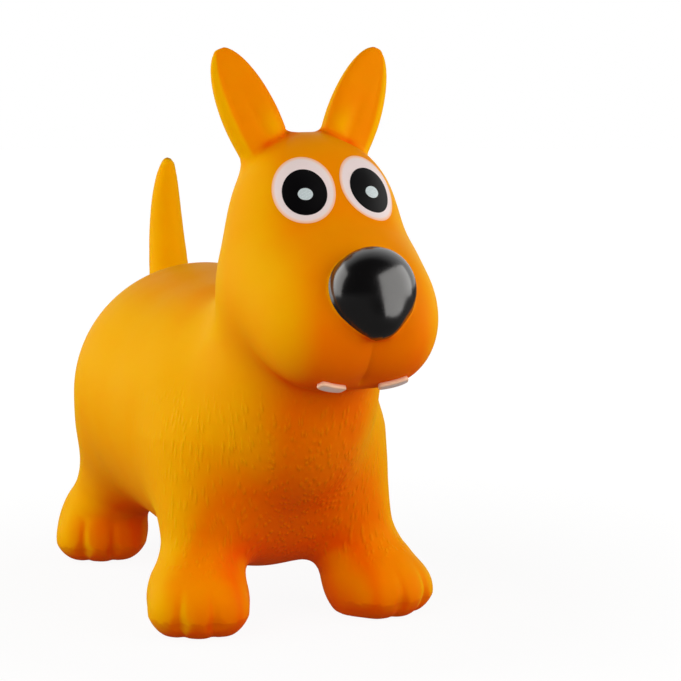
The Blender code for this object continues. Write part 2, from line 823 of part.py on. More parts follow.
def add_coat(name, face_mesh, cutter_mesh, lift, thickness, material, collections):
    """A thin coat that follows the skin: the lifted face, cut to an outline."""
    parts, cutters = collections
    cutter = add_cutter(name + "_outline", cutter_mesh, cutters)
    under = add_lifted_face(name + "_under", face_mesh, lift, cutters)
    top = add_lifted_face(name + "_top", face_mesh, lift + thickness, cutters)
    add_boolean(top, cutter, "INTERSECT")
    add_boolean(top, under, "DIFFERENCE")
    mesh = evaluated_mesh(top, name)
    bpy.data.objects.remove(top)
    coat = add_object(name, mesh, parts, material)
    mesh.shade_smooth()
    mesh.set_sharp_from_angle(angle=SHARP_ANGLE)
    return coat


def pad_underside():
    """The height of the valve pad's flat underside, just below the belly round its rim."""
    rims = (VALVE_BACK - PAD_RADIUS, VALVE_BACK, VALVE_BACK + PAD_RADIUS)
    drops = [surface_along((0, back, RUMP_RISE), (0, 0, -1), RUMP_DEPTH) for back in rims]
    return RUMP_RISE - max(drops) - PAD_STANDS_PROUD


def make_skin(outer, material, underside, collections):
    """The hollow skin: the outer surface and valve pad, less the hollow and the plug's seat."""
    parts, cutters = collections
    skin = add_object("skin", outer.copy(), parts, material)
    seat = underside + PLUG_FLANGE_THICKNESS + GAP
    pad = add_cutter("pad", disc_mesh("pad", PAD_RADIUS, underside, seat + PAD_THICKNESS), cutters)
    add_boolean(skin, pad, "UNION")
    reach = RUMP_LENGTH + CHEST_LENGTH + MUZZLE_LENGTH
    floor_block = box_mesh("floor_block", (-reach, -reach, -RUMP_RISE), (reach, reach, 0))
    add_boolean(skin, add_cutter("floor_block", floor_block, cutters), "DIFFERENCE")

    hollow = add_cutter("hollow", blended_mesh("hollow", skin_forms(True), WALL), cutters)
    add_thinning(hollow, HOLLOW_TRIANGLES)
    sole_block = box_mesh("sole_block", (-reach, -reach, -RUMP_RISE), (reach, reach, WALL))
    add_boolean(hollow, add_cutter("sole_block", sole_block, cutters), "DIFFERENCE")
    add_boolean(hollow, pad, "DIFFERENCE")
    add_boolean(skin, hollow, "DIFFERENCE")

    recess_radius = PLUG_FLANGE_RADIUS + GAP
    recess = disc_mesh("recess", recess_radius, underside - OVERRUN, seat)
    add_boolean(skin, add_cutter("recess", recess, cutters), "DIFFERENCE")
    hole_top = seat + PAD_THICKNESS + OVERRUN
    hole = disc_mesh("plug_hole", PLUG_HOLE_RADIUS, seat - OVERRUN / 2, hole_top)
    add_boolean(skin, add_cutter("plug_hole", hole, cutters), "DIFFERENCE")
    skin.data.shade_smooth()
    return skin


def make_plug(material, underside, collection):
    """The air plug: a turned flange with a dimple below, and a stem with a tapered tip."""
    stem = PLUG_HOLE_RADIUS - GAP
    flange = PLUG_FLANGE_THICKNESS
    top = flange + PLUG_STEM_LENGTH
    profile = [
        (0, top),
        (stem - PLUG_TIP_TAPER, top),
        (stem, top - PLUG_TIP_LENGTH),
        (stem, flange),
        (PLUG_FLANGE_RADIUS - PLUG_EDGE, flange),
        (PLUG_FLANGE_RADIUS, flange - PLUG_EDGE),
        (PLUG_FLANGE_RADIUS, PLUG_EDGE),
        (PLUG_FLANGE_RADIUS - PLUG_EDGE, 0),
        (PLUG_DIMPLE_RADIUS, 0),
        (PLUG_DIMPLE_RADIUS - PLUG_DIMPLE_DEPTH, PLUG_DIMPLE_DEPTH),
        (0, PLUG_DIMPLE_DEPTH),
    ]
    mesh = bpy.data.meshes.new("valve_plug")
    points = [(radius, 0, height) for radius, height in profile]
    mesh.from_pydata(points, [(i, i + 1) for i in range(len(points) - 1)], [])
    plug = add_object("valve_plug", mesh, collection, material)
    plug.location = (0, VALVE_BACK, underside)
    turn = plug.modifiers.new("turn", "SCREW")
    turn.axis = "Z"
    turn.steps = PLUG_STEPS
    turn.render_steps = PLUG_STEPS
    turn.use_merge_vertices = True
    turn.merge_threshold = MERGE_DISTANCE
    turn.use_smooth_shade = False
    return plug


def build():
    """Builds the whole animal."""
    for thing in list(bpy.data.objects):
        bpy.data.objects.remove(thing, do_unlink=True)
    parts = new_collection("ride_on_animal")
    cutters = new_collection("cutters")
    collections = (parts, cutters)

    vinyl = new_material("soft_vinyl_orange", (0.87, 0.33, 0.005), 0.42)
    white = new_material("white_paint", (0.83, 0.76, 0.72), 0.35)
    black = new_material("black_paint", (0.006, 0.006, 0.008), 0.18, coat=0.5)
    grey = new_material("pale_grey_paint", (0.52, 0.58, 0.60), 0.35)
    plug_white = new_material("hard_white_plastic", (0.80, 0.80, 0.78), 0.35)

    fine = add_cutter("fine_skin", blended_mesh("fine_skin", skin_forms(), 0.0), cutters)
    add_thinning(fine, SKIN_TRIANGLES)
    outer = evaluated_mesh(fine, "outer_skin")
    bpy.data.objects.remove(fine)

    underside = pad_underside()
    make_skin(outer, vinyl, underside, collections)
    make_plug(plug_white, underside, parts)

    muzzle_back, muzzle_rise = muzzle_middle()
    face_rise = face_middle()[1]
    low = (-MUZZLE_WIDTH, muzzle_back - 2 * MUZZLE_LENGTH, muzzle_rise - MUZZLE_DEPTH)
    high = (MUZZLE_WIDTH, muzzle_back + MUZZLE_LENGTH / 2, face_rise + FACE_DEPTH / 2)
    face_block = add_cutter("face_block", box_mesh("face_block", low, high), cutters)
    front = add_cutter("face_front", outer.copy(), cutters)
    add_boolean(front, face_block, "INTERSECT")
    face = evaluated_mesh(front, "face")
    bpy.data.objects.remove(front)

    coats = (
        ("eye_white", oval_cutter_mesh("w", WHITE_WIDTH, WHITE_HEIGHT, WHITE_ABOVE_PUPIL), white),
        ("pupil", oval_cutter_mesh("p", PUPIL_WIDTH, PUPIL_HEIGHT, 0), black),
        ("glint", oval_cutter_mesh("g", GLINT_WIDTH, GLINT_HEIGHT, -GLINT_BELOW_PUPIL), grey),
    )
    for layer, (name, outline, paint) in enumerate(coats):
        lift = GAP + layer * (COAT + GAP)
        add_coat(name + "_left", face, outline, lift, COAT, paint, collections)
        other = mirrored_mesh(outline, name + "_right_outline")
        add_coat(name + "_right", face, other, lift, COAT, paint, collections)
    tooth = tooth_cutter_mesh("tooth")
    add_coat("tooth_left", face, tooth, GAP, TOOTH_RAISED, white, collections)
    other = mirrored_mesh(tooth, "tooth_right_outline")
    add_coat("tooth_right", face, other, GAP, TOOTH_RAISED, white, collections)
    nose = blended_mesh("nose_outline", nose_forms(NOSE_COAT_MARGIN), 0.0)
    add_coat("nose_coat", face, nose, GAP, NOSE_COAT, black, collections)


build()
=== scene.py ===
"""Looks of a bouncy ride-on animal: moulded vinyl skin, sprayed face, teeth and air plug.

The animal faces -Y, its left side is +X and up is +Z, in metres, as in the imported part.
The skin is one closed surface: balls, limbs, a horn and leaves that melt into each other, pressed
with creases and a fur of fine strokes. The paint of the face is cast onto that surface.
"""

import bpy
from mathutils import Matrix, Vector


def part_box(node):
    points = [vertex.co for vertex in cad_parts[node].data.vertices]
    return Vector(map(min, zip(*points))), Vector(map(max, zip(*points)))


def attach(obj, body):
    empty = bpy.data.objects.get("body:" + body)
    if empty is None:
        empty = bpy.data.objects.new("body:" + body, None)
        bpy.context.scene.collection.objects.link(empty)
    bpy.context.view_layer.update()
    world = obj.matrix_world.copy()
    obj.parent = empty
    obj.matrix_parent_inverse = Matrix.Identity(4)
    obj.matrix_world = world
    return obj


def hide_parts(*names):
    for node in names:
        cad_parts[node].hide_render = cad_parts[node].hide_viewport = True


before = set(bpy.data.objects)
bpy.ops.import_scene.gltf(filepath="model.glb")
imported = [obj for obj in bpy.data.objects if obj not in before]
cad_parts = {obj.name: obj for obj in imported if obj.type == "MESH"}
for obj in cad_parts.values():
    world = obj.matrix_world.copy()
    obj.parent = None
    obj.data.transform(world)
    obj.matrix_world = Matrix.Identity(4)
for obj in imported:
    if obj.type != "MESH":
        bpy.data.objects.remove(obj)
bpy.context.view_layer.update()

import logging
import math
from abc import ABC, abstractmethod
from dataclasses import dataclass, field
from enum import Enum

import bmesh
import bpy
import numpy as np
from mathutils import Matrix, Vector, noise

logging.basicConfig(level=logging.INFO, format="%(message)s")
LOG = logging.getLogger("ride_on_animal")

MM = 0.001
FLIP = np.array((-1.0, 1.0, 1.0))
MERGE_DISTANCE = 0.01 * MM
TINY = 1e-9
# Blender's noise lies between these two almost everywhere, about this middle.
NOISE_SPAN = (0.3, 0.7)
NOISE_MIDDLE = (0.5, 0.5, 0.5)
FINE_DETAIL = 2.0
FADE_OUT = (1.0, 0.0)

Pair = tuple[float, float]
Triple = tuple[float, float, float]


class Body(Enum):
    """The two bodies of the part: the animal itself, and the plug that pulls out of it."""

    TOY = "toy"
    PLUG = "plug"


class Slot(Enum):
    """The record's material slots."""

    VINYL = "vinyl"
    BLACK = "black_paint"
    WHITE = "white_paint"
    GREY = "grey_paint"
    PLUG = "plug_plastic"


class Side(Enum):
    """The animal's own left and right."""

    LEFT = "left"
    RIGHT = "right"


def smoothstep(low: float, high: float, values: np.ndarray) -> np.ndarray:
    """Rises smoothly from 0 at low to 1 at high."""
    share = np.clip((values - low) / (high - low), 0, 1)
    return share * share * (3 - 2 * share)


def plateau(ends: tuple[float, float, float, float], values: np.ndarray) -> np.ndarray:
    """Rises from 0 to 1 between the first two ends, and falls back between the last two."""
    return smoothstep(*ends[:2], values) * (1 - smoothstep(*ends[2:], values))


def hill(values: np.ndarray, width: float) -> np.ndarray:
    """A round hill of height 1 about zero, which has fallen to a third at the width."""
    return np.exp(-((values / width) ** 2))


def smooth_least(first: np.ndarray, second: np.ndarray, blend: float) -> np.ndarray:
    """The lesser of two distances, rounded where they are within the blend of each other."""
    near = np.maximum(blend - np.abs(first - second), 0) / blend
    return np.minimum(first, second) - near**2 * blend / 4


def turned(points: np.ndarray, turn: Matrix) -> np.ndarray:
    """Points or directions, turned by a 3 by 3 matrix."""
    return points @ np.array(turn).T


def on_left(points: np.ndarray) -> np.ndarray:
    """Points moved to their twins' places where they lie on the animal's right side."""
    return np.abs(points * (1, 0, 0)) + points * (0, 1, 1)


class Form(ABC):
    """A closed shape, given by how far any point is from its surface."""

    @property
    @abstractmethod
    def middle(self) -> np.ndarray:
        """The form's middle. A form off the middle plane has a twin on the other side."""

    @abstractmethod
    def distance(self, points: np.ndarray) -> np.ndarray:
        """How far points are from the surface, less than zero inside."""

    @abstractmethod
    def place_on(self, sphere: np.ndarray) -> np.ndarray:
        """Points on the form for the points of a unit sphere about zero."""


@dataclass(frozen=True)
class Ball(Form):
    """An ellipsoid."""

    at: Triple
    size: Triple

    @property
    def middle(self) -> np.ndarray:
        """The ball's middle."""
        return np.array(self.at)

    def distance(self, points: np.ndarray) -> np.ndarray:
        """How far points are from the ball."""
        radii = np.array(self.size) / 2
        offset = points - self.middle
        near = np.linalg.norm(offset / radii, axis=1)
        far = np.linalg.norm(offset / radii**2, axis=1)
        return near * (near - 1) / np.maximum(far, TINY)

    def place_on(self, sphere: np.ndarray) -> np.ndarray:
        """The sphere, stretched to the ball's size."""
        return self.middle + sphere * np.array(self.size) / 2


@dataclass(frozen=True)
class Limb(Form):
    """A tapered limb with round ends."""

    start: Triple
    end: Triple
    start_radius: float
    end_radius: float

    @property
    def middle(self) -> np.ndarray:
        """The point halfway along the limb."""
        return (np.array(self.start) + np.array(self.end)) / 2

    def distance(self, points: np.ndarray) -> np.ndarray:
        """How far points are from the limb."""
        start = np.array(self.start)
        axis = np.array(self.end) - start
        length = np.linalg.norm(axis)
        along = (points - start) @ axis / length
        aside = np.linalg.norm(points - start - along[:, None] * axis / length, axis=1)
        slope = (self.start_radius - self.end_radius) / length
        drop = math.sqrt(1 - slope**2)
        share = np.clip((along * drop + aside * slope) / (length * drop), 0, 1)
        radius = self.start_radius + (self.end_radius - self.start_radius) * share
        return np.linalg.norm(points - start - share[:, None] * axis, axis=1) - radius

    def place_on(self, sphere: np.ndarray) -> np.ndarray:
        """The sphere, pulled apart between the two ends."""
        start, end = np.array(self.start), np.array(self.end)
        turn = Vector(end - start).to_track_quat("Z", "Y").to_matrix()
        upper = (sphere[:, 2] > 0)[:, None]
        radius = np.where(upper, self.end_radius, self.start_radius)
        return np.where(upper, end, start) + turned(sphere, turn) * radius


@dataclass(frozen=True)
class Horn(Form):
    """A curved horn that tapers to a round tip."""

    root: Triple
    bend: Triple
    tip: Triple
    root_radius: float
    taper: float = 0.42
    tip_share: float = 0.985
    marks: int = 17
    nearing_rounds: int = 3

    @property
    def middle(self) -> np.ndarray:
        """The horn's bend."""
        return np.array(self.bend)

    def point(self, share: np.ndarray) -> np.ndarray:
        """Points of the horn's axis, a curve drawn towards the bend."""
        root, bend, tip = (np.array(p) for p in (self.root, self.bend, self.tip))
        share = share[:, None]
        return (1 - share) ** 2 * root + 2 * share * (1 - share) * bend + share**2 * tip

    def radius(self, share: np.ndarray) -> np.ndarray:
        """The radius at shares of the length."""
        return self.root_radius * (1 - share * self.tip_share) ** self.taper

    def nearest(self, points: np.ndarray) -> np.ndarray:
        """The share of the axis that is nearest to each point."""
        root, bend, tip = (np.array(p) for p in (self.root, self.bend, self.tip))
        marks = np.linspace(0, 1, self.marks)
        gaps = np.linalg.norm(points[:, None] - self.point(marks), axis=2)
        share = marks[gaps.argmin(axis=1)]
        turn = 2 * (tip - 2 * bend + root)
        for _ in range(self.nearing_rounds):
            offset = self.point(share) - points
            along = 2 * (bend - root) + share[:, None] * turn
            steepness = (along**2).sum(axis=1) + offset @ turn
            move = (offset * along).sum(axis=1) / np.maximum(steepness, TINY)
            share = np.clip(share - move, 0, 1)
        return share

    def distance(self, points: np.ndarray) -> np.ndarray:
        """How far points are from the horn."""
        share = self.nearest(points)
        return np.linalg.norm(points - self.point(share), axis=1) - self.radius(share)

    def place_on(self, sphere: np.ndarray) -> np.ndarray:
        """The sphere, pulled along the horn's axis."""
        share = (sphere[:, 2] + 1) / 2
        around = sphere * (1, 1, 0)
        around = around / np.maximum(np.linalg.norm(around, axis=1), TINY)[:, None]
        return self.point(share) + around * self.radius(share)[:, None]


@dataclass(frozen=True)
class Leaf(Form):
    """A flat leaf that is widest part of the way up and comes to a round tip."""

    root: Triple
    tip: Triple
    root_width: float
    root_thickness: float
    full_width: float
    tip_thickness: float
    full_share: float
    tip_share: float
    taper: float
    edge_power: float = 2.8
    closing_power: int = 8
    start_margin: float = 2.5 * MM

    @property
    def middle(self) -> np.ndarray:
        """The leaf's root."""
        return np.array(self.root)

    @property
    def length(self) -> float:
        """The leaf's length from root to tip."""
        return float(np.linalg.norm(np.array(self.tip) - self.middle))

    def axes(self) -> tuple[np.ndarray, np.ndarray, np.ndarray]:
        """The leaf's directions: up to the tip, across to the inner edge, and to the back."""
        up = (np.array(self.tip) - self.middle) / self.length
        wide = np.cross(up, (0, 1, 0))
        wide = wide / np.linalg.norm(wide)
        return up, wide, np.cross(wide, up)

    def half_sizes(self, share: np.ndarray) -> tuple[np.ndarray, np.ndarray]:
        """The leaf's half width and half thickness at a share of its length."""
        rise = np.clip(share / self.full_share, 0, 1)
        fall = np.clip((share - self.full_share) / (1 - self.full_share), 0, 1)
        taper = np.maximum(1 - fall**2, 0) ** self.taper
        growth = (self.full_width - self.root_width) * np.sin(rise * math.pi / 2)
        thickness = self.root_thickness + (self.tip_thickness - self.root_thickness) * fall
        return (self.root_width + growth) / 2 * taper, thickness / 2 * np.sqrt(taper)

    def outline(self, aside: np.ndarray) -> np.ndarray:
        """The share of the length up to which the leaf reaches, this far from its middle line."""
        width = np.clip(np.abs(aside) / (self.full_width / 2), 0, 1)
        fall = np.sqrt(1 - width ** (1 / self.taper))
        return self.full_share + (1 - self.full_share) * fall

    def stretched(self, points: np.ndarray, start: float) -> np.ndarray:
        """Points of the leaf's end, stretched along it until they fill its outline.

        Args:
            points: points of a mesh round the leaf, whose end is cut short.
            start: the share of the length above which points move.

        Returns:
            The moved points.
        """
        up, wide, _ = self.axes()
        offset = points - self.middle
        share = offset @ up / self.length
        end = (share > start) & (np.abs(offset @ wide) < self.full_width / 2)
        growth = (self.outline(offset @ wide) - start) / (share[end].max() - start)
        move = np.where(end, (share - start) * (np.maximum(growth, 0) - 1), 0)
        return points + np.outer(move * self.length, up)

    def spread(self, points: np.ndarray) -> tuple[np.ndarray, np.ndarray, np.ndarray]:
        """Each point's share of the length, its share across the width, and its depth."""
        up, wide, back = self.axes()
        offset = points - self.middle
        share = offset @ up / self.length
        width, _ = self.half_sizes(np.minimum(share, self.tip_share))
        return share, offset @ wide / width, offset @ back

    def distance(self, points: np.ndarray) -> np.ndarray:
        """About how far points are from the leaf."""
        share, across, depth = self.spread(points)
        width, thickness = self.half_sizes(np.minimum(share, self.tip_share))
        over = np.maximum(share - self.tip_share, 0) + np.minimum(share, 0)
        shares = np.abs((across, depth / thickness, over * self.length / thickness))
        near = (shares**self.edge_power).sum(axis=0) ** (1 / self.edge_power)
        return (near - 1) * np.minimum(width, thickness)

    def place_on(self, sphere: np.ndarray) -> np.ndarray:
        """The sphere, pulled along the leaf and flattened across it, a margin larger."""
        up, wide, back = self.axes()
        share = (sphere[:, 2] + 1) / 2 * (1 + self.start_margin / self.length)
        sizes = self.half_sizes(np.minimum(share, self.tip_share))
        closing = np.sqrt(1 - np.abs(sphere[:, 2]) ** self.closing_power)
        width, thickness = ((size + self.start_margin) * closing for size in sizes)
        around = sphere[:, :2] / np.maximum(np.linalg.norm(sphere[:, :2], axis=1), TINY)[:, None]
        place = self.middle + np.outer(share * self.length, up)
        place = place + np.outer(around[:, 0] * width, wide)
        return place + np.outer(around[:, 1] * thickness, back)


@dataclass(frozen=True)
class Melt:
    """A form, and the length over which it melts into the forms before it."""

    form: Form
    blend: float


class Press(ABC):
    """A mark pressed into the skin, the same on both sides of the animal."""

    @abstractmethod
    def depth(self, points: np.ndarray) -> np.ndarray:
        """How deep the skin is pressed at points on the left side, raised where below zero."""


@dataclass(frozen=True)
class MiddleCleft(Press):
    """The cleft down the middle of the jowls, from under the nose to under the chin."""

    low: float
    high: float
    front: float
    groove_width: float = 2.2 * MM
    groove_depth: float = 1.9 * MM
    valley_width: float = 11 * MM
    valley_depth: float = 2.4 * MM
    fade: float = 12 * MM

    def depth(self, points: np.ndarray) -> np.ndarray:
        """A sharp groove in a wide valley, both fading out at their two ends."""
        height = points[:, 2]
        ends = smoothstep(self.low, self.low + self.fade, height)
        ends = ends * (1 - smoothstep(self.high - self.fade / 2, self.high, height))
        ends = ends * (1 - smoothstep(self.front, self.front + self.fade, points[:, 1]))
        groove = self.groove_depth * hill(points[:, 0], self.groove_width)
        valley = self.valley_depth * hill(points[:, 0], self.valley_width)
        return ends * (groove + valley)


@dataclass(frozen=True)
class EarFold(Press):
    """The front of an ear: dished behind a thick outer rim, with a fold up from its root.

    A field whose name ends in along has shares of the ear's length, and one whose name ends in
    across has shares of its half width, from -1 at the outer edge to 1 at the inner one.
    """

    leaf: Leaf
    front_start: Pair = (-1 * MM, 4 * MM)
    reach: float = 1.05
    reach_across: float = 1.4
    dish_depth: float = 2.0 * MM
    dish_along: tuple[float, float, float, float] = (0.12, 0.40, 0.62, 0.95)
    dish_end_across: Pair = (0.15, 1.0)
    rim_share: float = 0.80
    rim_softness: float = 0.34
    fold_across: float = 0.10
    fold_lean: float = 0.25
    fold_upright_share: float = 0.3
    fold_width: float = 4.5 * MM
    fold_depth: float = 1.1 * MM
    fold_along: tuple[float, float, float, float] = (0.1, 0.25, 0.35, 0.72)
    lobe_across: float = 0.50
    lobe_width: float = 8 * MM
    lobe_height: float = 1.3 * MM
    lobe_along: tuple[float, float, float, float] = (0.12, 0.24, 0.28, 0.55)
    crease_share: float = 0.15
    crease_lean: float = 0.02
    crease_length: float = 3.6 * MM
    crease_depth: float = 2.2 * MM
    crease_start_across: Pair = (-0.6, 0.1)
    crease_end_across: Pair = (0.85, 1.3)

    def depth(self, points: np.ndarray) -> np.ndarray:
        """The dish, the fold and the crease at the root, less the raised lobe beside the fold."""
        share, across, back = self.leaf.spread(points)
        width, _ = self.leaf.half_sizes(np.clip(share, 0, self.leaf.tip_share))
        front = smoothstep(*self.front_start, -back)
        behind_rim = smoothstep(-self.rim_share, -self.rim_share + self.rim_softness, across)
        towards_inner_edge = 1 - smoothstep(*self.dish_end_across, across)
        dish = self.dish_depth * behind_rim * towards_inner_edge * plateau(self.dish_along, share)
        lean = self.fold_lean * (share - self.fold_upright_share)
        aside = (across - self.fold_across + lean) * width
        fold = self.fold_depth * hill(aside, self.fold_width) * plateau(self.fold_along, share)
        beside = (across - self.lobe_across) * width
        lobe = self.lobe_height * hill(beside, self.lobe_width) * plateau(self.lobe_along, share)
        above = (share - self.crease_share - self.crease_lean * across) * self.leaf.length
        crease = self.crease_depth * hill(above, self.crease_length)
        crease = crease * smoothstep(*self.crease_start_across, across)
        crease = crease * (1 - smoothstep(*self.crease_end_across, across))
        on_ear = (share > 0) & (share < self.reach) & (np.abs(across) < self.reach_across)
        return np.where(on_ear, front * (dish + fold + crease - lobe), 0)


@dataclass(frozen=True)
class ToeGroove(Press):
    """The gap between two toes: a groove over the front of a paw, deepest near the floor."""

    start: Pair
    end: Pair
    width: float = 4.2 * MM
    groove_depth: float = 1.6 * MM
    notch_depth: float = 1.8 * MM
    notch_rise: float = 17 * MM
    notch_height: float = 7 * MM
    notch_widening: float = 0.7
    start_fade: float = 0.45
    top: float = 60 * MM
    fade: float = 36 * MM

    def depth(self, points: np.ndarray) -> np.ndarray:
        """The groove's depth, by how far a point is from the groove's line on the plan."""
        start, end = np.array(self.start), np.array(self.end)
        run = end - start
        offset = points[:, :2] - start
        share = np.clip(offset @ run / (run @ run), 0, 1)
        aside = np.linalg.norm(offset - share[:, None] * run, axis=1)
        height = points[:, 2]
        below_top = 1 - smoothstep(self.top - self.fade, self.top, height)
        fading = smoothstep(0, self.start_fade, share) * below_top
        notch = hill(height - self.notch_rise, self.notch_height)
        depth = self.groove_depth + self.notch_depth * notch
        return fading * depth * hill(aside, self.width * (1 + self.notch_widening * notch))


@dataclass(frozen=True)
class SoleSlant(Press):
    """The edge round the front of a paw, below which the skin slants in to the sole."""

    at: Pair
    ahead: Pair
    reach: float
    rise: float = 19 * MM
    step_in: float = 5.5 * MM
    front_start: Pair = (-0.1, 0.6)
    far_end: Pair = (1.25, 1.5)

    def depth(self, points: np.ndarray) -> np.ndarray:
        """The slant below the edge, fading out towards the back of the paw."""
        offset = points[:, :2] - np.array(self.at)
        front = smoothstep(*self.front_start, offset @ np.array(self.ahead) / self.reach)
        near = 1 - smoothstep(*self.far_end, np.linalg.norm(offset, axis=1) / self.reach)
        below = np.clip(1 - points[:, 2] / self.rise, 0, 1)
        return self.step_in * below * front * near


class Field:
    """The skin as a distance field: melted forms, pressed marks and a flat floor cut."""

    SOLE_ROUNDING = 3 * MM
    SLOPE_STEP = 0.04 * MM
    LEAST_SLOPE_SQUARED = 0.1
    LONGEST_MOVE = 6 * MM
    CAST_STEPS = 40
    CAST_CARE = 0.8

    def __init__(self, melts: list[Melt], presses: list[Press]) -> None:
        """Keeps the forms in the order in which they melt together.

        Args:
            melts: the forms with their blends.
            presses: the marks pressed into the melted surface.
        """
        self.melts = melts
        self.presses = presses

    def distance(self, points: np.ndarray) -> np.ndarray:
        """How far points are from the skin, less than zero inside."""
        total = None
        twins = points * FLIP
        for melt in self.melts:
            distance = melt.form.distance(points)
            if melt.form.middle[0] > 0:
                distance = smooth_least(distance, melt.form.distance(twins), melt.blend)
            total = distance if total is None else smooth_least(total, distance, melt.blend)
        left = on_left(points)
        for press in self.presses:
            total = total + press.depth(left)
        return -smooth_least(-total, points[:, 2], self.SOLE_ROUNDING)

    def slope(self, points: np.ndarray) -> tuple[np.ndarray, np.ndarray]:
        """The distance at points and how it changes along X, Y and Z."""
        here = self.distance(points)
        slope = np.empty_like(points)
        for axis, step in enumerate(np.eye(3) * self.SLOPE_STEP):
            slope[:, axis] = (self.distance(points + step) - here) / self.SLOPE_STEP
        return here, slope

    def normals(self, points: np.ndarray) -> np.ndarray:
        """Unit directions out of the skin."""
        _, slope = self.slope(points)
        return slope / np.maximum(np.linalg.norm(slope, axis=1), TINY)[:, None]

    def draw(self, points: np.ndarray, rounds: int) -> np.ndarray:
        """Points moved along the field's slope onto the skin."""
        for _ in range(rounds):
            here, slope = self.slope(points)
            steepness = np.maximum((slope**2).sum(axis=1), self.LEAST_SLOPE_SQUARED)
            move = np.clip(here / steepness, -self.LONGEST_MOVE, self.LONGEST_MOVE)
            points = points - slope * move[:, None]
        return points

    def cast(self, starts: np.ndarray, direction: np.ndarray) -> np.ndarray:
        """Where rays that start outside meet the skin.

        Args:
            starts: the rays' first points.
            direction: one unit direction for all rays, or one for each.

        Returns:
            The points on the skin.
        """
        travelled = np.zeros(len(starts))
        direction = np.broadcast_to(direction, starts.shape)
        for _ in range(self.CAST_STEPS):
            travelled += self.CAST_CARE * self.distance(starts + direction * travelled[:, None])
        return starts + direction * travelled[:, None]

    def hit(self, start: Triple, direction: tuple[int, int, int]) -> Vector:
        """Where one ray that starts outside meets the skin."""
        return Vector(self.cast(np.array((start,)), np.array(direction))[0])

    def shelter(self, points: np.ndarray, normals: np.ndarray, reach: float) -> np.ndarray:
        """How much of the space before each point the skin itself takes, from 0 to 1."""
        return np.clip(1 - self.distance(points + normals * reach) / reach, 0, 1)


@dataclass(frozen=True)
class Torso:
    """The barrel of the body: a rump ball and a chest ball."""

    rump_size: Triple = (0.286, 0.294, 0.281)
    rump_back: float = 0.157
    rump_rise: float = 0.198
    chest_size: Triple = (0.247, 0.241, 0.292)
    chest_back: float = 0.0055
    chest_rise: float = 0.185
    blend: float = 0.087

    def melts(self) -> list[Melt]:
        """The two balls."""
        rump = Ball((0, self.rump_back, self.rump_rise), self.rump_size)
        chest = Ball((0, self.chest_back, self.chest_rise), self.chest_size)
        return [Melt(rump, self.blend), Melt(chest, self.blend)]


@dataclass(frozen=True)
class Head:
    """The neck and the head without its nose and ears, placed from the chest."""

    torso: Torso
    neck_size: Triple = (0.165, 0.156, 0.290)
    neck_ahead: float = 0.1145
    neck_above: float = 0.097
    neck_blend: float = 0.060
    muzzle_size: Triple = (0.188, 0.204, 0.158)
    muzzle_ahead: float = 0.073
    muzzle_above: float = 0.056
    muzzle_blend: float = 0.040
    jowl_size: Triple = (0.100, 0.108, 0.108)
    jowl_apart: float = 0.060
    jowl_ahead: float = 0.052
    jowl_below: float = 0.024
    jowl_blend: float = 0.030
    cleft_below_muzzle: float = 0.024
    cleft_behind_jowl: float = 0.008
    face_size: Triple = (0.146, 0.104, 0.170)
    face_behind: float = 0.037
    face_above: float = 0.0505
    face_blend: float = 0.060
    brow_size: Triple = (0.084, 0.120, 0.104)
    brow_apart: float = 0.057
    brow_behind: float = 0.003
    brow_above: float = 0.034
    brow_blend: float = 0.030
    crown_size: Triple = (0.092, 0.112, 0.100)
    crown_behind: float = 0.023
    crown_above: float = 0.048
    crown_blend: float = 0.030

    @property
    def neck(self) -> np.ndarray:
        """The neck's middle."""
        back = self.torso.chest_back - self.neck_ahead
        return np.array((0, back, self.torso.chest_rise + self.neck_above))

    @property
    def muzzle(self) -> np.ndarray:
        """The muzzle's middle."""
        return self.neck + (0, -self.muzzle_ahead, self.muzzle_above)

    @property
    def jowl(self) -> np.ndarray:
        """The left jowl's middle."""
        return self.muzzle + (self.jowl_apart / 2, -self.jowl_ahead, -self.jowl_below)

    @property
    def face(self) -> np.ndarray:
        """The middle of the upper half of the head."""
        return self.muzzle + (0, self.face_behind, self.face_above)

    @property
    def crown(self) -> np.ndarray:
        """The crown's middle."""
        return self.face + (0, self.crown_behind, self.crown_above)

    def melts(self) -> list[Melt]:
        """The head's balls, from the neck up."""
        brow = self.face + (self.brow_apart / 2, self.brow_behind, self.brow_above)
        return [
            Melt(Ball(tuple(self.neck), self.neck_size), self.neck_blend),
            Melt(Ball(tuple(self.muzzle), self.muzzle_size), self.muzzle_blend),
            Melt(Ball(tuple(self.jowl), self.jowl_size), self.jowl_blend),
            Melt(Ball(tuple(self.face), self.face_size), self.face_blend),
            Melt(Ball(tuple(brow), self.brow_size), self.brow_blend),
            Melt(Ball(tuple(self.crown), self.crown_size), self.crown_blend),
        ]

    def presses(self) -> list[Press]:
        """The cleft between the jowls."""
        low = self.jowl[2] - self.jowl_size[2] / 2
        high = self.muzzle[2] - self.cleft_below_muzzle
        return [MiddleCleft(low, high, self.jowl[1] + self.cleft_behind_jowl)]


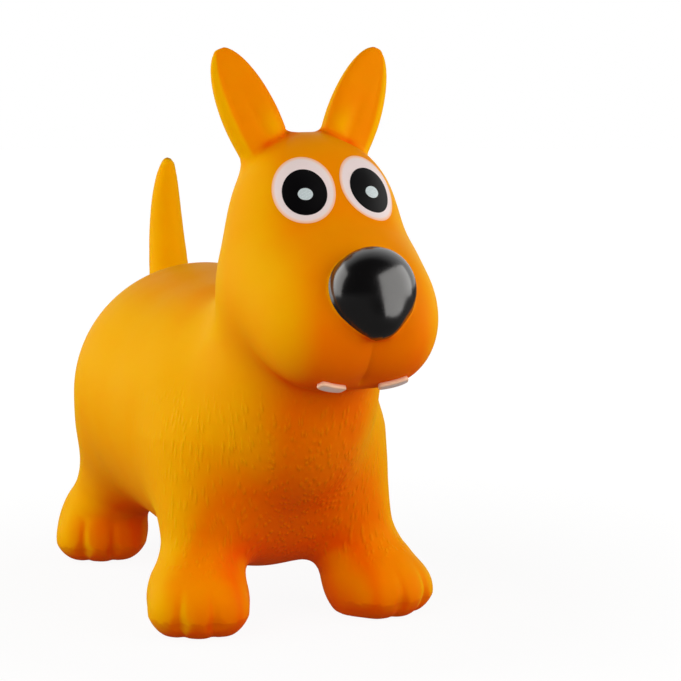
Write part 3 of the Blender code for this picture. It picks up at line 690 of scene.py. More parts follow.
@dataclass(frozen=True)
class NoseBulb:
    """The ball of the nose and its lower point, placed from the muzzle."""

    head: Head
    size: Triple = (0.081, 0.064, 0.080)
    ahead: float = 0.101
    above: float = 0.0165
    blend: float = 0.005
    point_size: float = 0.032
    point_ahead: float = 0.015
    point_below: float = 0.024

    @property
    def middle(self) -> np.ndarray:
        """The nose ball's middle."""
        return self.head.muzzle + (0, -self.ahead, self.above)

    def melts(self, margin: float = 0.0) -> list[Melt]:
        """The nose's two balls, larger all round by the margin."""
        grown = tuple(size + 2 * margin for size in self.size)
        point = self.middle + (0, -self.point_ahead, -self.point_below)
        point_size = (self.point_size + 2 * margin,) * 3
        return [
            Melt(Ball(tuple(self.middle), grown), self.blend),
            Melt(Ball(tuple(point), point_size), self.point_size / 2),
        ]


@dataclass(frozen=True)
class Ears:
    """The two upright ears, placed from the crown.

    The shares along are of an ear's length, and those across are of its half width. The fields
    from the rim onwards set the ears' painted light and shade: a lit rim and a lighter lobe, where
    the light falls, and a shaded front and a darker crease at the root, where shade falls.
    """

    head: Head
    root_apart: float = 0.0795
    root_above_crown: float = 0.038
    lean: Triple = (0.0425, 0.0125, 0.0972)
    root_width: float = 0.047
    full_width: float = 0.0550
    root_thickness: float = 0.026
    tip_thickness: float = 0.012
    full_share: float = 0.38
    tip_share: float = 0.998
    taper: float = 0.53
    sunk: float = 0.014
    blend: float = 0.010
    # Painted light and shade of the ears: a lit rim, a lighter lobe, a shaded front, a darker
    # crease.
    golden_rim: float = -0.68
    golden_rim_softness: float = 0.08
    root_along: Pair = (0.10, 0.17)
    front_facing: Pair = (-0.1, 0.5)
    front_shade: float = 0.50
    crease_shade: float = 0.50
    crease_length: float = 0.005
    lobe_light: float = 0.34
    lobe_width_across: float = 0.35
    lobe_along: float = 0.27
    lobe_length_along: float = 0.14

    def leaf(self) -> Leaf:
        """The left ear."""
        root = self.head.crown + (self.root_apart / 2, 0, self.root_above_crown)
        lean = np.array(self.lean)
        sunk = root - lean / np.linalg.norm(lean) * self.sunk
        return Leaf(
            tuple(sunk),
            tuple(root + lean),
            self.root_width,
            self.root_thickness,
            self.full_width,
            self.tip_thickness,
            self.full_share,
            self.tip_share,
            self.taper,
        )

    def melts(self) -> list[Melt]:
        """The left ear, whose twin is the right one."""
        return [Melt(self.leaf(), self.blend)]

    def presses(self) -> list[Press]:
        """The dish, the fold and the crease of the ear's front."""
        return [EarFold(self.leaf())]

    def painted_shade_depth(
        self, points: np.ndarray, normals: np.ndarray
    ) -> tuple[np.ndarray, np.ndarray]:
        """The ears' painted shade: lit golden on the rim and the back, deepest in the crease.

        Args:
            points: points of the skin.
            normals: the skin's unit normals there.

        Returns:
            The share of painted shade, and how far each point belongs to an ear.
        """
        fold = EarFold(self.leaf())
        share, across, _ = fold.leaf.spread(on_left(points))
        belongs = smoothstep(*self.root_along, share) * (points[:, 1] < 0)
        front = smoothstep(*self.front_facing, -normals[:, 1])
        soft = self.golden_rim_softness
        inside_rim = smoothstep(self.golden_rim - soft, self.golden_rim + soft, across)
        lobe = self.lobe_light * hill(across - fold.lobe_across, self.lobe_width_across)
        lobe = lobe * hill(share - self.lobe_along, self.lobe_length_along)
        above = (share - fold.crease_share) * fold.leaf.length
        crease = self.crease_shade * hill(above, self.crease_length)
        crease = crease * smoothstep(*fold.crease_start_across, across)
        # Painted shade on the front, lifted on the painted lit rim and lobe, and deepest in the
        # crease.
        return front * inside_rim * (self.front_shade - lobe) + crease, belongs


@dataclass(frozen=True)
class Paw:
    """A paw with three toes, turned out about its middle."""

    at: Pair
    size: Triple
    turn_out: float = math.radians(22)
    rise: float = 0.0255
    blend: float = 0.032
    toe_rise: float = 0.0215
    toe_blend: float = 0.016
    toe_side_shares: tuple[float, ...] = (-0.50, 0.0, 0.50)
    toe_ahead_shares: tuple[float, ...] = (0.55, 0.70, 0.55)
    toe_size_shares: Triple = (0.44, 0.44, 0.60)
    groove_side_shares: tuple[float, ...] = (-0.30, 0.30)
    groove_start: Pair = (0.7, 0.30)
    groove_end: Pair = (1.2, 1.25)

    def place(self, side_share: float, ahead_share: float) -> Pair:
        """A place on the plan, by shares of the paw's half width and half length."""
        turn = np.array(Matrix.Rotation(self.turn_out, 2))
        offset = turn @ (side_share * self.size[0] / 2, -ahead_share * self.size[1] / 2)
        return self.at[0] + offset[0], self.at[1] + offset[1]

    def melts(self) -> list[Melt]:
        """The pad and its toes."""
        toe_size = tuple(np.array(self.size) * self.toe_size_shares)
        toes = zip(self.toe_side_shares, self.toe_ahead_shares)
        return [
            Melt(Ball((*self.at, self.rise), self.size), self.blend),
            *(
                Melt(Ball((*self.place(*shares), self.toe_rise), toe_size), self.toe_blend)
                for shares in toes
            ),
        ]

    def presses(self) -> list[Press]:
        """A groove between each two toes, which spreads outwards, and the slant above the sole."""
        turn = np.array(Matrix.Rotation(self.turn_out, 2))
        spreads = (self.groove_start, self.groove_end)
        grooves = [
            ToeGroove(*(self.place(share * spread, ahead) for spread, ahead in spreads))
            for share in self.groove_side_shares
        ]
        return [*grooves, SoleSlant(self.at, tuple(turn @ (0, -1)), self.size[1] / 2)]


@dataclass(frozen=True)
class Legs:
    """The four legs, as the two on the left, each with its paw.

    A joint's pair is how far apart it is from its twin and how high, and a paw's shift is how far
    out and back it lies from its ankle.
    """

    torso: Torso
    shoulder: Pair = (0.120, 0.155)
    shoulder_ahead: float = 0.045
    shoulder_radius: float = 0.048
    front_ankle: Pair = (0.1942, 0.048)
    front_ankle_ahead: float = 0.022
    front_ankle_radius: float = 0.033
    front_paw_size: Triple = (0.0995, 0.1025, 0.0865)
    front_paw_shift: Pair = (-0.002, -0.016)
    hip: Pair = (0.131, 0.132)
    hip_behind: float = 0.053
    hip_radius: float = 0.044
    rear_ankle: Pair = (0.174, 0.058)
    rear_ankle_behind: float = 0.051
    rear_ankle_radius: float = 0.038
    rear_paw_size: Triple = (0.099, 0.101, 0.078)
    rear_paw_shift: Pair = (-0.001, 0.0045)
    blend: float = 0.055

    def front(self) -> tuple[Limb, Paw]:
        """The left front leg and its paw."""
        back = self.torso.chest_back - self.shoulder_ahead
        start = (self.shoulder[0] / 2, back, self.shoulder[1])
        end = (self.front_ankle[0] / 2, back - self.front_ankle_ahead, self.front_ankle[1])
        limb = Limb(start, end, self.shoulder_radius, self.front_ankle_radius)
        shift = self.front_paw_shift
        return limb, Paw((end[0] + shift[0], end[1] + shift[1]), self.front_paw_size)

    def rear(self) -> tuple[Limb, Paw]:
        """The left rear leg and its paw."""
        back = self.torso.rump_back + self.hip_behind
        start = (self.hip[0] / 2, back, self.hip[1])
        end = (self.rear_ankle[0] / 2, back + self.rear_ankle_behind, self.rear_ankle[1])
        limb = Limb(start, end, self.hip_radius, self.rear_ankle_radius)
        shift = self.rear_paw_shift
        return limb, Paw((end[0] + shift[0], end[1] + shift[1]), self.rear_paw_size)

    def melts(self) -> list[Melt]:
        """Each leg followed by its paw."""
        found = []
        for limb, paw in (self.front(), self.rear()):
            found += [Melt(limb, self.blend), *paw.melts()]
        return found

    def presses(self) -> list[Press]:
        """The grooves between the toes and the slants above the soles."""
        return [press for _, paw in (self.front(), self.rear()) for press in paw.presses()]


@dataclass(frozen=True)
class Tail:
    """The upright tail, a curved horn placed from the rump.

    Its bend and its tip are how far behind and above its root they lie.
    """

    torso: Torso
    root_behind: float = 0.1065
    root_above: float = 0.081
    bend: Pair = (0.035, 0.108)
    tip: Pair = (0.010, 0.166)
    root_radius: float = 0.0245
    blend: float = 0.014

    def melts(self) -> list[Melt]:
        """The horn."""
        root = (0, self.torso.rump_back + self.root_behind, self.torso.rump_rise + self.root_above)
        bend, tip = ((0, root[1] + back, root[2] + up) for back, up in (self.bend, self.tip))
        horn = Horn(root, bend, tip, self.root_radius)
        return [Melt(horn, self.blend)]


@dataclass(frozen=True)
class Fur:
    """Moulded fur: short upright strokes over the chest, the belly and the tops of the legs.

    The mesh carries the tufts, which are wider than its grain. The vinyl's bump carries the
    strokes in them.
    """

    spacing: float = 6 * MM
    length: float = 22 * MM
    height: float = 0.35 * MM
    rear_edge: float = 0.07
    rear_fade: float = 0.11
    low: float = 0.045
    low_fade: float = 0.03
    high: float = 0.262
    high_fade: float = 0.045
    share_aside: float = 0.25
    front_facing: Pair = (0.1, 0.6)
    step: float = 0.5 * MM
    least_mask: float = 0.01
    seed: float = 11.0

    def mask(self, points: np.ndarray, normals: np.ndarray) -> np.ndarray:
        """Where the fur lies: the front of the body between the paws and the chin."""
        behind = 1 - smoothstep(self.rear_edge - self.rear_fade, self.rear_edge, points[:, 1])
        above = 1 - smoothstep(self.high - self.high_fade, self.high, points[:, 2])
        below = smoothstep(self.low, self.low + self.low_fade, points[:, 2])
        front = smoothstep(*self.front_facing, -normals[:, 1])
        return behind * above * below * (self.share_aside + (1 - self.share_aside) * front)

    def tuft(self, point: np.ndarray) -> float:
        """The height of the tufts at a point, about zero."""
        x, y, z = (float(value) for value in point)
        place = (x / self.spacing, y / self.spacing, z / self.length + self.seed)
        return noise.noise(Vector(place))

    def raise_on(self, points: np.ndarray, normals: np.ndarray) -> tuple[np.ndarray, np.ndarray]:
        """Raises the tufts on a surface.

        Args:
            points: the surface's points.
            normals: its unit normals there.

        Returns:
            The raised points, and the normals of the raised surface.
        """
        mask = self.mask(points, normals)
        raised, turned_to = points.copy(), normals.copy()
        for i in np.flatnonzero(mask > self.least_mask):
            here = self.tuft(points[i])
            shifts = np.eye(3) * self.step
            slope = [(self.tuft(points[i] + shift) - here) / self.step for shift in shifts]
            height = self.height * mask[i]
            raised[i] += normals[i] * here * height
            turned_to[i] -= height * np.array(slope)
        turned_to /= np.linalg.norm(turned_to, axis=1)[:, None]
        return raised, turned_to


def linear(code: str) -> tuple[float, float, float, float]:
    """A colour written in sRGB hex, as the linear values that a shader takes.

    Args:
        code: six hex digits after a hash sign.

    Returns:
        Red, green, blue and an alpha of 1.
    """
    values = [int(code[i : i + 2], 16) / 255 for i in (1, 3, 5)]
    return (*(v / 12.92 if v <= 0.04045 else ((v + 0.055) / 1.055) ** 2.4 for v in values), 1.0)


def add_node(
    tree: bpy.types.NodeTree,
    kind: str,
    values: dict | None = None,
    links: dict | None = None,
    **settings: object,
) -> bpy.types.Node:
    """Adds a node to a tree.

    Args:
        tree: the node tree.
        kind: the node's type name.
        values: input names or numbers with their values.
        links: input names or numbers with the output sockets that feed them.
        settings: the node's own properties.

    Returns:
        The new node.
    """
    node = tree.nodes.new(kind)
    for name, value in settings.items():
        setattr(node, name, value)
    for key, value in (values or {}).items():
        node.inputs[key].default_value = value
    for key, socket in (links or {}).items():
        tree.links.new(socket, node.inputs[key])
    return node


def spans(source: Pair, target: Pair) -> dict:
    """The input values that map one span of numbers onto another."""
    return dict(zip(("From Min", "From Max", "To Min", "To Max"), (*source, *target)))


def new_material(name: str) -> tuple[bpy.types.Material, bpy.types.NodeTree]:
    """An empty node material with only its output."""
    material = bpy.data.materials.new(name)
    material.use_nodes = True
    tree = material.node_tree
    for node in list(tree.nodes):
        if node.type != "OUTPUT_MATERIAL":
            tree.nodes.remove(node)
    return material, tree


def output_of(tree: bpy.types.NodeTree) -> bpy.types.Node:
    """The tree's output node."""
    return next(node for node in tree.nodes if node.type.startswith("OUTPUT"))


def relief(
    tree: bpy.types.NodeTree,
    size: float,
    height: float,
    under: bpy.types.NodeSocket | None = None,
) -> bpy.types.NodeSocket:
    """A fine even relief, such as a mould's grain or the peel of a sprayed film.

    Args:
        tree: the node tree.
        size: how far across its grains are.
        height: how high they stand.
        under: the normal of a coarser relief that it lies on.

    Returns:
        The normal that a shader takes.
    """
    places = add_node(tree, "ShaderNodeTexCoord")
    grains = add_node(
        tree,
        "ShaderNodeTexNoise",
        {"Scale": 1 / size, "Detail": FINE_DETAIL},
        {"Vector": places.outputs["Object"]},
    )
    links = {"Height": grains.outputs["Fac"]}
    if under:
        links["Normal"] = under
    return add_node(tree, "ShaderNodeBump", {"Distance": height}, links).outputs[0]


@dataclass(frozen=True)
class RotomouldedVinyl:
    """Plasticised PVC, rotationally moulded and blown up: soft, satin and a little see-through.

    Light that has passed through the wall comes out redder, which the subsurface glow gives. The
    base colour also carries painted shade: skin that is sheltered or faces the front is painted a
    deep orange shade, and skin that faces the side lamps or up is painted a lit golden. The mould
    leaves a fine even grain, and short strokes of fur. Its real grain is finer, and is drawn at
    1.5 mm, as coarse as it needs to show in the render.
    """

    # The lit golden where the light falls, and the deep orange of the painted shade.
    golden: str = "#F4AF00"
    deep: str = "#F25600"
    roughness: float = 0.50
    roughness_drift: float = 0.05
    ior: float = 1.52
    gloss: float = 0.025
    gloss_tint: str = "#FFB850"
    glow: float = 0.2
    glow_spread: Triple = (1.0, 0.28, 0.06)
    glow_depth: float = 12 * MM
    grain_size: float = 1.5 * MM
    grain_height: float = 0.045 * MM
    mottle_size: float = 45 * MM
    mottle_drift: float = 0.03
    stroke_spacing: float = 5.0 * MM
    stroke_length: float = 20 * MM
    stroke_height: float = 0.9 * MM
    stroke_disorder: float = 0.9
    stroke_edge: Pair = (0.05, 0.52)
    golden_tips: float = 0.10
    sway_size: float = 40 * MM
    sway_width: float = 9 * MM

    def strokes(self, tree: bpy.types.NodeTree) -> bpy.types.Node:
        """Cells drawn out upright, each with one short stroke, which sway a little."""
        places = add_node(tree, "ShaderNodeTexCoord")
        sway = add_node(
            tree,
            "ShaderNodeTexNoise",
            {"Scale": 1 / self.sway_size, "Detail": 0.0},
            {"Vector": places.outputs["Object"]},
        )
        shift = add_node(
            tree,
            "ShaderNodeVectorMath",
            {1: NOISE_MIDDLE},
            {0: sway.outputs["Color"]},
            operation="SUBTRACT",
        )
        nudge = add_node(
            tree,
            "ShaderNodeVectorMath",
            {1: (self.sway_width, self.sway_width, 0)},
            {0: shift.outputs[0]},
            operation="MULTIPLY",
        )
        moved = add_node(
            tree,
            "ShaderNodeVectorMath",
            links={0: places.outputs["Object"], 1: nudge.outputs[0]},
            operation="ADD",
        )
        drawn = add_node(
            tree,
            "ShaderNodeVectorMath",
            {1: (1 / self.stroke_spacing, 1 / self.stroke_spacing, 1 / self.stroke_length)},
            {0: moved.outputs[0]},
            operation="MULTIPLY",
        )
        cells = add_node(
            tree,
            "ShaderNodeTexVoronoi",
            {"Scale": 1.0, "Randomness": self.stroke_disorder},
            {"Vector": drawn.outputs[0]},
        )
        return add_node(
            tree,
            "ShaderNodeMapRange",
            spans(self.stroke_edge, FADE_OUT),
            {"Value": cells.outputs["Distance"]},
            interpolation_type="SMOOTHSTEP",
        )

    def material(self) -> bpy.types.Material:
        """Builds the material."""
        material, tree = new_material("rotomoulded_pvc_vinyl")
        # The painted shade's share, by which way the skin faces and how sheltered it is.
        shelter = add_node(tree, "ShaderNodeAttribute", attribute_name="deep")
        fur = add_node(tree, "ShaderNodeAttribute", attribute_name="fur")
        places = add_node(tree, "ShaderNodeTexCoord")
        mottle = add_node(
            tree,
            "ShaderNodeTexNoise",
            {"Scale": 1 / self.mottle_size, "Detail": FINE_DETAIL},
            {"Vector": places.outputs["Object"]},
        )
        drift = add_node(
            tree,
            "ShaderNodeMapRange",
            spans(NOISE_SPAN, (-self.mottle_drift, self.mottle_drift)),
            {"Value": mottle.outputs["Fac"]},
        )
        strokes = self.strokes(tree)
        tufts = add_node(
            tree,
            "ShaderNodeMath",
            links={0: strokes.outputs[0], 1: fur.outputs["Fac"]},
            operation="MULTIPLY",
        )
        # The tips of the strokes catch the light, so they are a little more golden.
        tips = add_node(
            tree,
            "ShaderNodeMath",
            {1: -self.golden_tips},
            {0: tufts.outputs[0], 2: drift.outputs[0]},
            operation="MULTIPLY_ADD",
        )
        share = add_node(
            tree,
            "ShaderNodeMath",
            links={0: shelter.outputs["Fac"], 1: tips.outputs[0]},
            operation="ADD",
            use_clamp=True,
        )
        # The base colour: the lit golden, mixed towards the painted shade's deep orange.
        colour = add_node(
            tree,
            "ShaderNodeMix",
            {6: linear(self.golden), 7: linear(self.deep)},
            {0: share.outputs[0]},
            data_type="RGBA",
        )
        low, high = self.roughness - self.roughness_drift, self.roughness + self.roughness_drift
        rough = add_node(
            tree,
            "ShaderNodeMapRange",
            spans(NOISE_SPAN, (low, high)),
            {"Value": mottle.outputs["Fac"]},
        )
        moulded = add_node(
            tree, "ShaderNodeBump", {"Distance": self.stroke_height}, {"Height": tufts.outputs[0]}
        )
        grained = relief(tree, self.grain_size, self.grain_height, under=moulded.outputs[0])
        shader = add_node(
            tree,
            "ShaderNodeBsdfPrincipled",
            {
                "IOR": self.ior,
                "Specular IOR Level": self.gloss,
                "Specular Tint": linear(self.gloss_tint),
                "Subsurface Weight": self.glow,
                "Subsurface Radius": self.glow_spread,
                "Subsurface Scale": self.glow_depth,
            },
            {"Base Color": colour.outputs[2], "Roughness": rough.outputs[0], "Normal": grained},
        )
        tree.links.new(shader.outputs[0], output_of(tree).inputs[0])
        return material


@dataclass(frozen=True)
class SprayedPaint:
    """Flexible vinyl paint, sprayed through a mask: an even film with a faint orange peel.

    Gloss black shows the studio in it. The white lets a little of the orange through at its
    thin edge, which an edge colour gives. A coat with a second colour carries the dots of the
    printing pad, which are finer on the real one and are drawn as coarse as they need to show.
    """

    name: str
    colour: str
    roughness: float
    edge: str | None = None
    ior: float = 1.5
    gloss: float = 0.5
    dots: str | None = None
    dot_size: float = 1.3 * MM
    dot_disorder: float = 0.35
    dot_edge: Pair = (0.25, 0.5)
    peel_size: float = 5 * MM
    peel_height: float = 0.03 * MM

    def material(self) -> bpy.types.Material:
        """Builds the material."""
        material, tree = new_material(self.name)
        values = {
            "Base Color": linear(self.colour),
            "Roughness": self.roughness,
            "IOR": self.ior,
            "Specular IOR Level": self.gloss,
        }
        links = {"Normal": relief(tree, self.peel_size, self.peel_height)}
        second, share = None, None
        if self.dots:
            places = add_node(tree, "ShaderNodeTexCoord")
            cells = add_node(
                tree,
                "ShaderNodeTexVoronoi",
                {"Scale": 1 / self.dot_size, "Randomness": self.dot_disorder},
                {"Vector": places.outputs["Object"]},
            )
            spot = add_node(
                tree,
                "ShaderNodeMapRange",
                spans(self.dot_edge, FADE_OUT),
                {"Value": cells.outputs["Distance"]},
            )
            second, share = self.dots, spot.outputs[0]
        elif self.edge:
            rim = add_node(tree, "ShaderNodeAttribute", attribute_name="edge")
            second, share = self.edge, rim.outputs["Fac"]
        if second:
            links["Base Color"] = add_node(
                tree,
                "ShaderNodeMix",
                {6: linear(self.colour), 7: linear(second)},
                {0: share},
                data_type="RGBA",
            ).outputs[2]
        shader = add_node(tree, "ShaderNodeBsdfPrincipled", values, links)
        tree.links.new(shader.outputs[0], output_of(tree).inputs[0])
        return material


PAINTS = (
    SprayedPaint("gloss_black_vinyl_paint", "#050405", roughness=0.2, ior=1.85),
    SprayedPaint("satin_black_vinyl_paint", "#060507", roughness=0.45, gloss=0.12),
    SprayedPaint("satin_white_vinyl_paint", "#EEDEDE", roughness=0.42, edge="#F8C3A0", gloss=0.25),
    SprayedPaint("pale_grey_vinyl_paint", "#C2D0D4", roughness=0.35, dots="#D6E2E4"),
    SprayedPaint("tooth_white_vinyl_paint", "#F0DAD2", roughness=0.34, edge="#F7C8A8"),
)


@dataclass(frozen=True)
class MouldedPolyethylene:
    """Polyethylene, injection moulded: milky white, waxy, with a fine spark-eroded grain.

    The real grain is finer, and is drawn at 0.6 mm, as coarse as it needs to show in a close view.
    """

    colour: str = "#E9E8E4"
    pigment: str = "#DCDAD3"
    roughness: float = 0.38
    ior: float = 1.51
    glow: float = 0.2
    glow_spread: Triple = (1.0, 0.9, 0.8)
    glow_depth: float = 2 * MM
    grain_size: float = 0.6 * MM
    grain_height: float = 0.02 * MM

    def material(self) -> bpy.types.Material:
        """Builds the material."""
        material, tree = new_material("injection_moulded_polyethylene")
        places = add_node(tree, "ShaderNodeTexCoord")
        specks = add_node(
            tree,
            "ShaderNodeTexNoise",
            {"Scale": 1 / self.grain_size, "Detail": FINE_DETAIL},
            {"Vector": places.outputs["Object"]},
        )
        tone = add_node(
            tree,
            "ShaderNodeMix",
            {6: linear(self.colour), 7: linear(self.pigment)},
            {0: specks.outputs["Fac"]},
            data_type="RGBA",
        )
        shader = add_node(
            tree,
            "ShaderNodeBsdfPrincipled",
            {
                "Roughness": self.roughness,
                "IOR": self.ior,
                "Subsurface Weight": self.glow,
                "Subsurface Radius": self.glow_spread,
                "Subsurface Scale": self.glow_depth,
            },
            {
                "Base Color": tone.outputs[2],
                "Normal": relief(tree, self.grain_size, self.grain_height),
            },
        )
        tree.links.new(shader.outputs[0], output_of(tree).inputs[0])
        return material


@dataclass(frozen=True)
class Finishes:
    """Every finish of the animal, built once: the vinyl, the paints in their order, the plug."""

    vinyl: bpy.types.Material
    black: bpy.types.Material
    satin_black: bpy.types.Material
    white: bpy.types.Material
    grey: bpy.types.Material
    tooth: bpy.types.Material
    plug: bpy.types.Material

    @classmethod
    def make(cls) -> "Finishes":
        """Builds the materials."""
        return cls(
            RotomouldedVinyl().material(),
            *(paint.material() for paint in PAINTS),
            MouldedPolyethylene().material(),
        )


def in_scene(name: str, data: bpy.types.ID) -> bpy.types.Object:
    """A new object in the scene."""
    thing = bpy.data.objects.new(name, data)
    bpy.context.scene.collection.objects.link(thing)
    return thing


def new_object(name: str, mesh: bpy.types.Mesh, material: bpy.types.Material) -> bpy.types.Object:
    """An object in the scene with a mesh of one material."""
    thing = in_scene(name, mesh)
    mesh.materials.clear()
    mesh.materials.append(material)
    return thing


def mesh_from(name: str, points: np.ndarray, faces: list) -> bpy.types.Mesh:
    """A smooth-shaded mesh of points and faces."""
    mesh = bpy.data.meshes.new(name)
    mesh.from_pydata([tuple(point) for point in points], [], faces)
    mesh.shade_smooth()
    return mesh


def points_of(mesh: bpy.types.Mesh) -> np.ndarray:
    """A mesh's vertices as an array of rows."""
    points = np.empty(len(mesh.vertices) * 3)
    mesh.vertices.foreach_get("co", points)
    return points.reshape(-1, 3)


def set_points(mesh: bpy.types.Mesh, points: np.ndarray) -> None:
    """Moves a mesh's vertices."""
    mesh.vertices.foreach_set("co", points.ravel())
    mesh.update()


def set_values(mesh: bpy.types.Mesh, name: str, values: np.ndarray) -> None:
    """Keeps one number for each vertex, for a material to read."""
    attribute = mesh.attributes.new(name, "FLOAT", "POINT")
    attribute.data.foreach_set("value", values.astype(np.float32))


def modified(mesh: bpy.types.Mesh, name: str, kind: str, **settings: object) -> bpy.types.Mesh:
    """The mesh that a modifier makes of another one.

    Args:
        mesh: the mesh that goes in.
        name: the new mesh's name.
        kind: the modifier's type name.
        settings: the modifier's own properties.

    Returns:
        The new mesh.
    """
    thing = in_scene("rough", mesh)
    modifier = thing.modifiers.new("modifier", kind)
    for key, value in settings.items():
        setattr(modifier, key, value)
    bpy.context.view_layer.update()
    graph = bpy.context.evaluated_depsgraph_get()
    made = bpy.data.meshes.new_from_object(thing.evaluated_get(graph))
    made.name = name
    bpy.data.objects.remove(thing)
    return made


def lathe(name: str, profile: tuple[Pair, ...], steps: int) -> bpy.types.Mesh:
    """A closed turned shape about the Z axis.

    Args:
        name: the mesh's name.
        profile: how far across and how high each point is, down the outside from the top.
        steps: how many steps it is turned in.

    Returns:
        The turned mesh.
    """
    mesh = bpy.data.meshes.new("profile")
    points = [(across, 0, rise) for across, rise in profile]
    mesh.from_pydata(points, [(i, i + 1) for i in range(len(points) - 1)], [])
    return modified(
        mesh,
        name,
        "SCREW",
        steps=steps,
        render_steps=steps,
        use_merge_vertices=True,
        merge_threshold=MERGE_DISTANCE,
    )


def report(thing: bpy.types.Object, body: Body, slot: Slot, *nodes: str) -> None:
    """Ties a piece to its body and the nodes that it stands for."""
    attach(thing, body.value)
    if nodes:
        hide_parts(*nodes)
    count = sum(len(face.vertices) - 2 for face in thing.data.polygons)
    LOG.info("%s rides on %s, %d triangles", thing.name, body.value, count)


@dataclass(frozen=True)
class ValvePad:
    """The thick round pad under the belly, with the seat and the hole that the plug fills.

    The pad's rounded edge has one point between its ends, which lies in from the corner by the
    bulge's share of the edge's radius.
    """

    radius: float = 17 * MM
    thickness: float = 7.5 * MM
    edge: float = 0.5 * MM
    edge_bulge: float = 0.3
    clearance: float = 0.3 * MM
    flange_thickness: float = 2.8 * MM
    hole_radius: float = 5.5 * MM
    hole_depth: float = 32 * MM
    overrun: float = 2 * MM
    steps: int = 96
    reach: float = 18.5 * MM
    sharp_angle: float = math.radians(40)

    @property
    def place(self) -> Vector:
        """The middle of the pad's flat underside, which is level with the plug's."""
        low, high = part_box("valve_plug")
        return Vector(((low.x + high.x) / 2, (low.y + high.y) / 2, low.z))

    @property
    def seat_radius(self) -> float:
        """The radius of the seat round the plug's flange."""
        low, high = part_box("valve_plug")
        return (high.x - low.x) / 2 + self.clearance

    def pad(self) -> bpy.types.Mesh:
        """The pad's disc, with a rounded lower edge."""
        top, bulge = self.flange_thickness + self.thickness, self.edge * self.edge_bulge
        profile = (
            (0, top),
            (self.radius, top),
            (self.radius, self.edge),
            (self.radius - bulge, bulge),
            (self.radius - self.edge, 0),
            (0, 0),
        )
        return lathe("pad", profile, self.steps)

    def bore(self) -> bpy.types.Mesh:
        """What is cut away: the flange's seat, and the stem's hole above it."""
        seat = self.flange_thickness + self.clearance
        profile = (
            (0, self.hole_depth),
            (self.hole_radius, self.hole_depth),
            (self.hole_radius, seat),
            (self.seat_radius, seat),
            (self.seat_radius, -self.overrun),
            (0, -self.overrun),
        )
        return lathe("bore", profile, self.steps)

    def cut_in(self, mesh: bpy.types.Mesh) -> bpy.types.Mesh:
        """The skin with the pad joined to it, and the seat and the hole cut out."""
        for shape, operation in ((self.pad(), "UNION"), (self.bore(), "DIFFERENCE")):
            tool = in_scene("tool", shape)
            tool.location = self.place
            mesh = modified(mesh, "skin", "BOOLEAN", operation=operation, object=tool)
            bpy.data.objects.remove(tool)
        return mesh

    def near(self, points: np.ndarray) -> np.ndarray:
        """Which points of the skin belong to the pad, the seat or the hole."""
        offset = points - np.array(self.place)
        low = offset[:, 2] < self.hole_depth + self.overrun
        return (np.linalg.norm(offset[:, :2], axis=1) < self.reach) & low


@dataclass(frozen=True)
class PaintedShadeDepth:
    """Painted shade in the vinyl's colour, by how sheltered the skin is and which way it faces.

    The front is painted a deep orange shade, most of all under the chin and between the legs,
    where shade falls. The sides, the back, the upper side and the tail, where the lamps light it,
    are painted golden. A pair is the span over which a share comes in or fades out.
    """

    front: float = 0.69
    behind_paler: float = 0.8
    behind_steepness: float = 1.6
    aside_paler: float = 0.56
    aside_facing: Pair = (0.38, 0.92)
    up_paler: float = 0.46
    sole_deeper: float = 0.12
    sole_rise: Pair = (0.008, 0.024)
    down_deeper: float = 0.50
    front_down_paler: float = 0.34
    between_legs_deeper: float = 0.44
    leg_rise: Pair = (0.09, 0.14)
    shelter_deeper: float = 0.24
    shelter_reach: float = 0.140
    front_up_deeper: float = 0.20
    tail_paler: float = 0.85
    tail_back: Pair = (0.19, 0.24)
    tail_rise: Pair = (0.27, 0.31)

    def at(self, points: np.ndarray, normals: np.ndarray, surface: Field) -> np.ndarray:
        """The share of painted shade in the body's colour.

        Args:
            points: points of the skin.
            normals: the skin's unit normals there.
            surface: the field that shelters them.

        Returns:
            The shares, which may lie a little below 0 or above 1.
        """
        up, down = np.clip(normals[:, 2], 0, 1), np.clip(-normals[:, 2], 0, 1)
        front = np.clip(-normals[:, 1], 0, 1)
        behind = np.clip(self.behind_steepness * normals[:, 1], 0, 1)
        aside = smoothstep(*self.aside_facing, np.abs(normals[:, 0]))
        inwards = np.clip(-normals[:, 0] * np.sign(points[:, 0]), 0, 1)
        low = 1 - smoothstep(*self.leg_rise, points[:, 2])
        sole = 1 - smoothstep(*self.sole_rise, points[:, 2])
        tail = smoothstep(*self.tail_back, points[:, 1]) * smoothstep(*self.tail_rise, points[:, 2])
        # Painted shade where the skin shelters itself, as under the chin and between the legs.
        shelter = surface.shelter(points, normals, self.shelter_reach)
        depth = self.front * (1 - self.behind_paler * behind) - self.aside_paler * aside
        depth += self.sole_deeper * sole - self.up_paler * up
        depth += self.down_deeper * down - self.front_down_paler * front * down
        depth += self.between_legs_deeper * inwards * low + self.shelter_deeper * shelter
        depth += self.front_up_deeper * front * up
        return depth * (1 - self.tail_paler * tail)


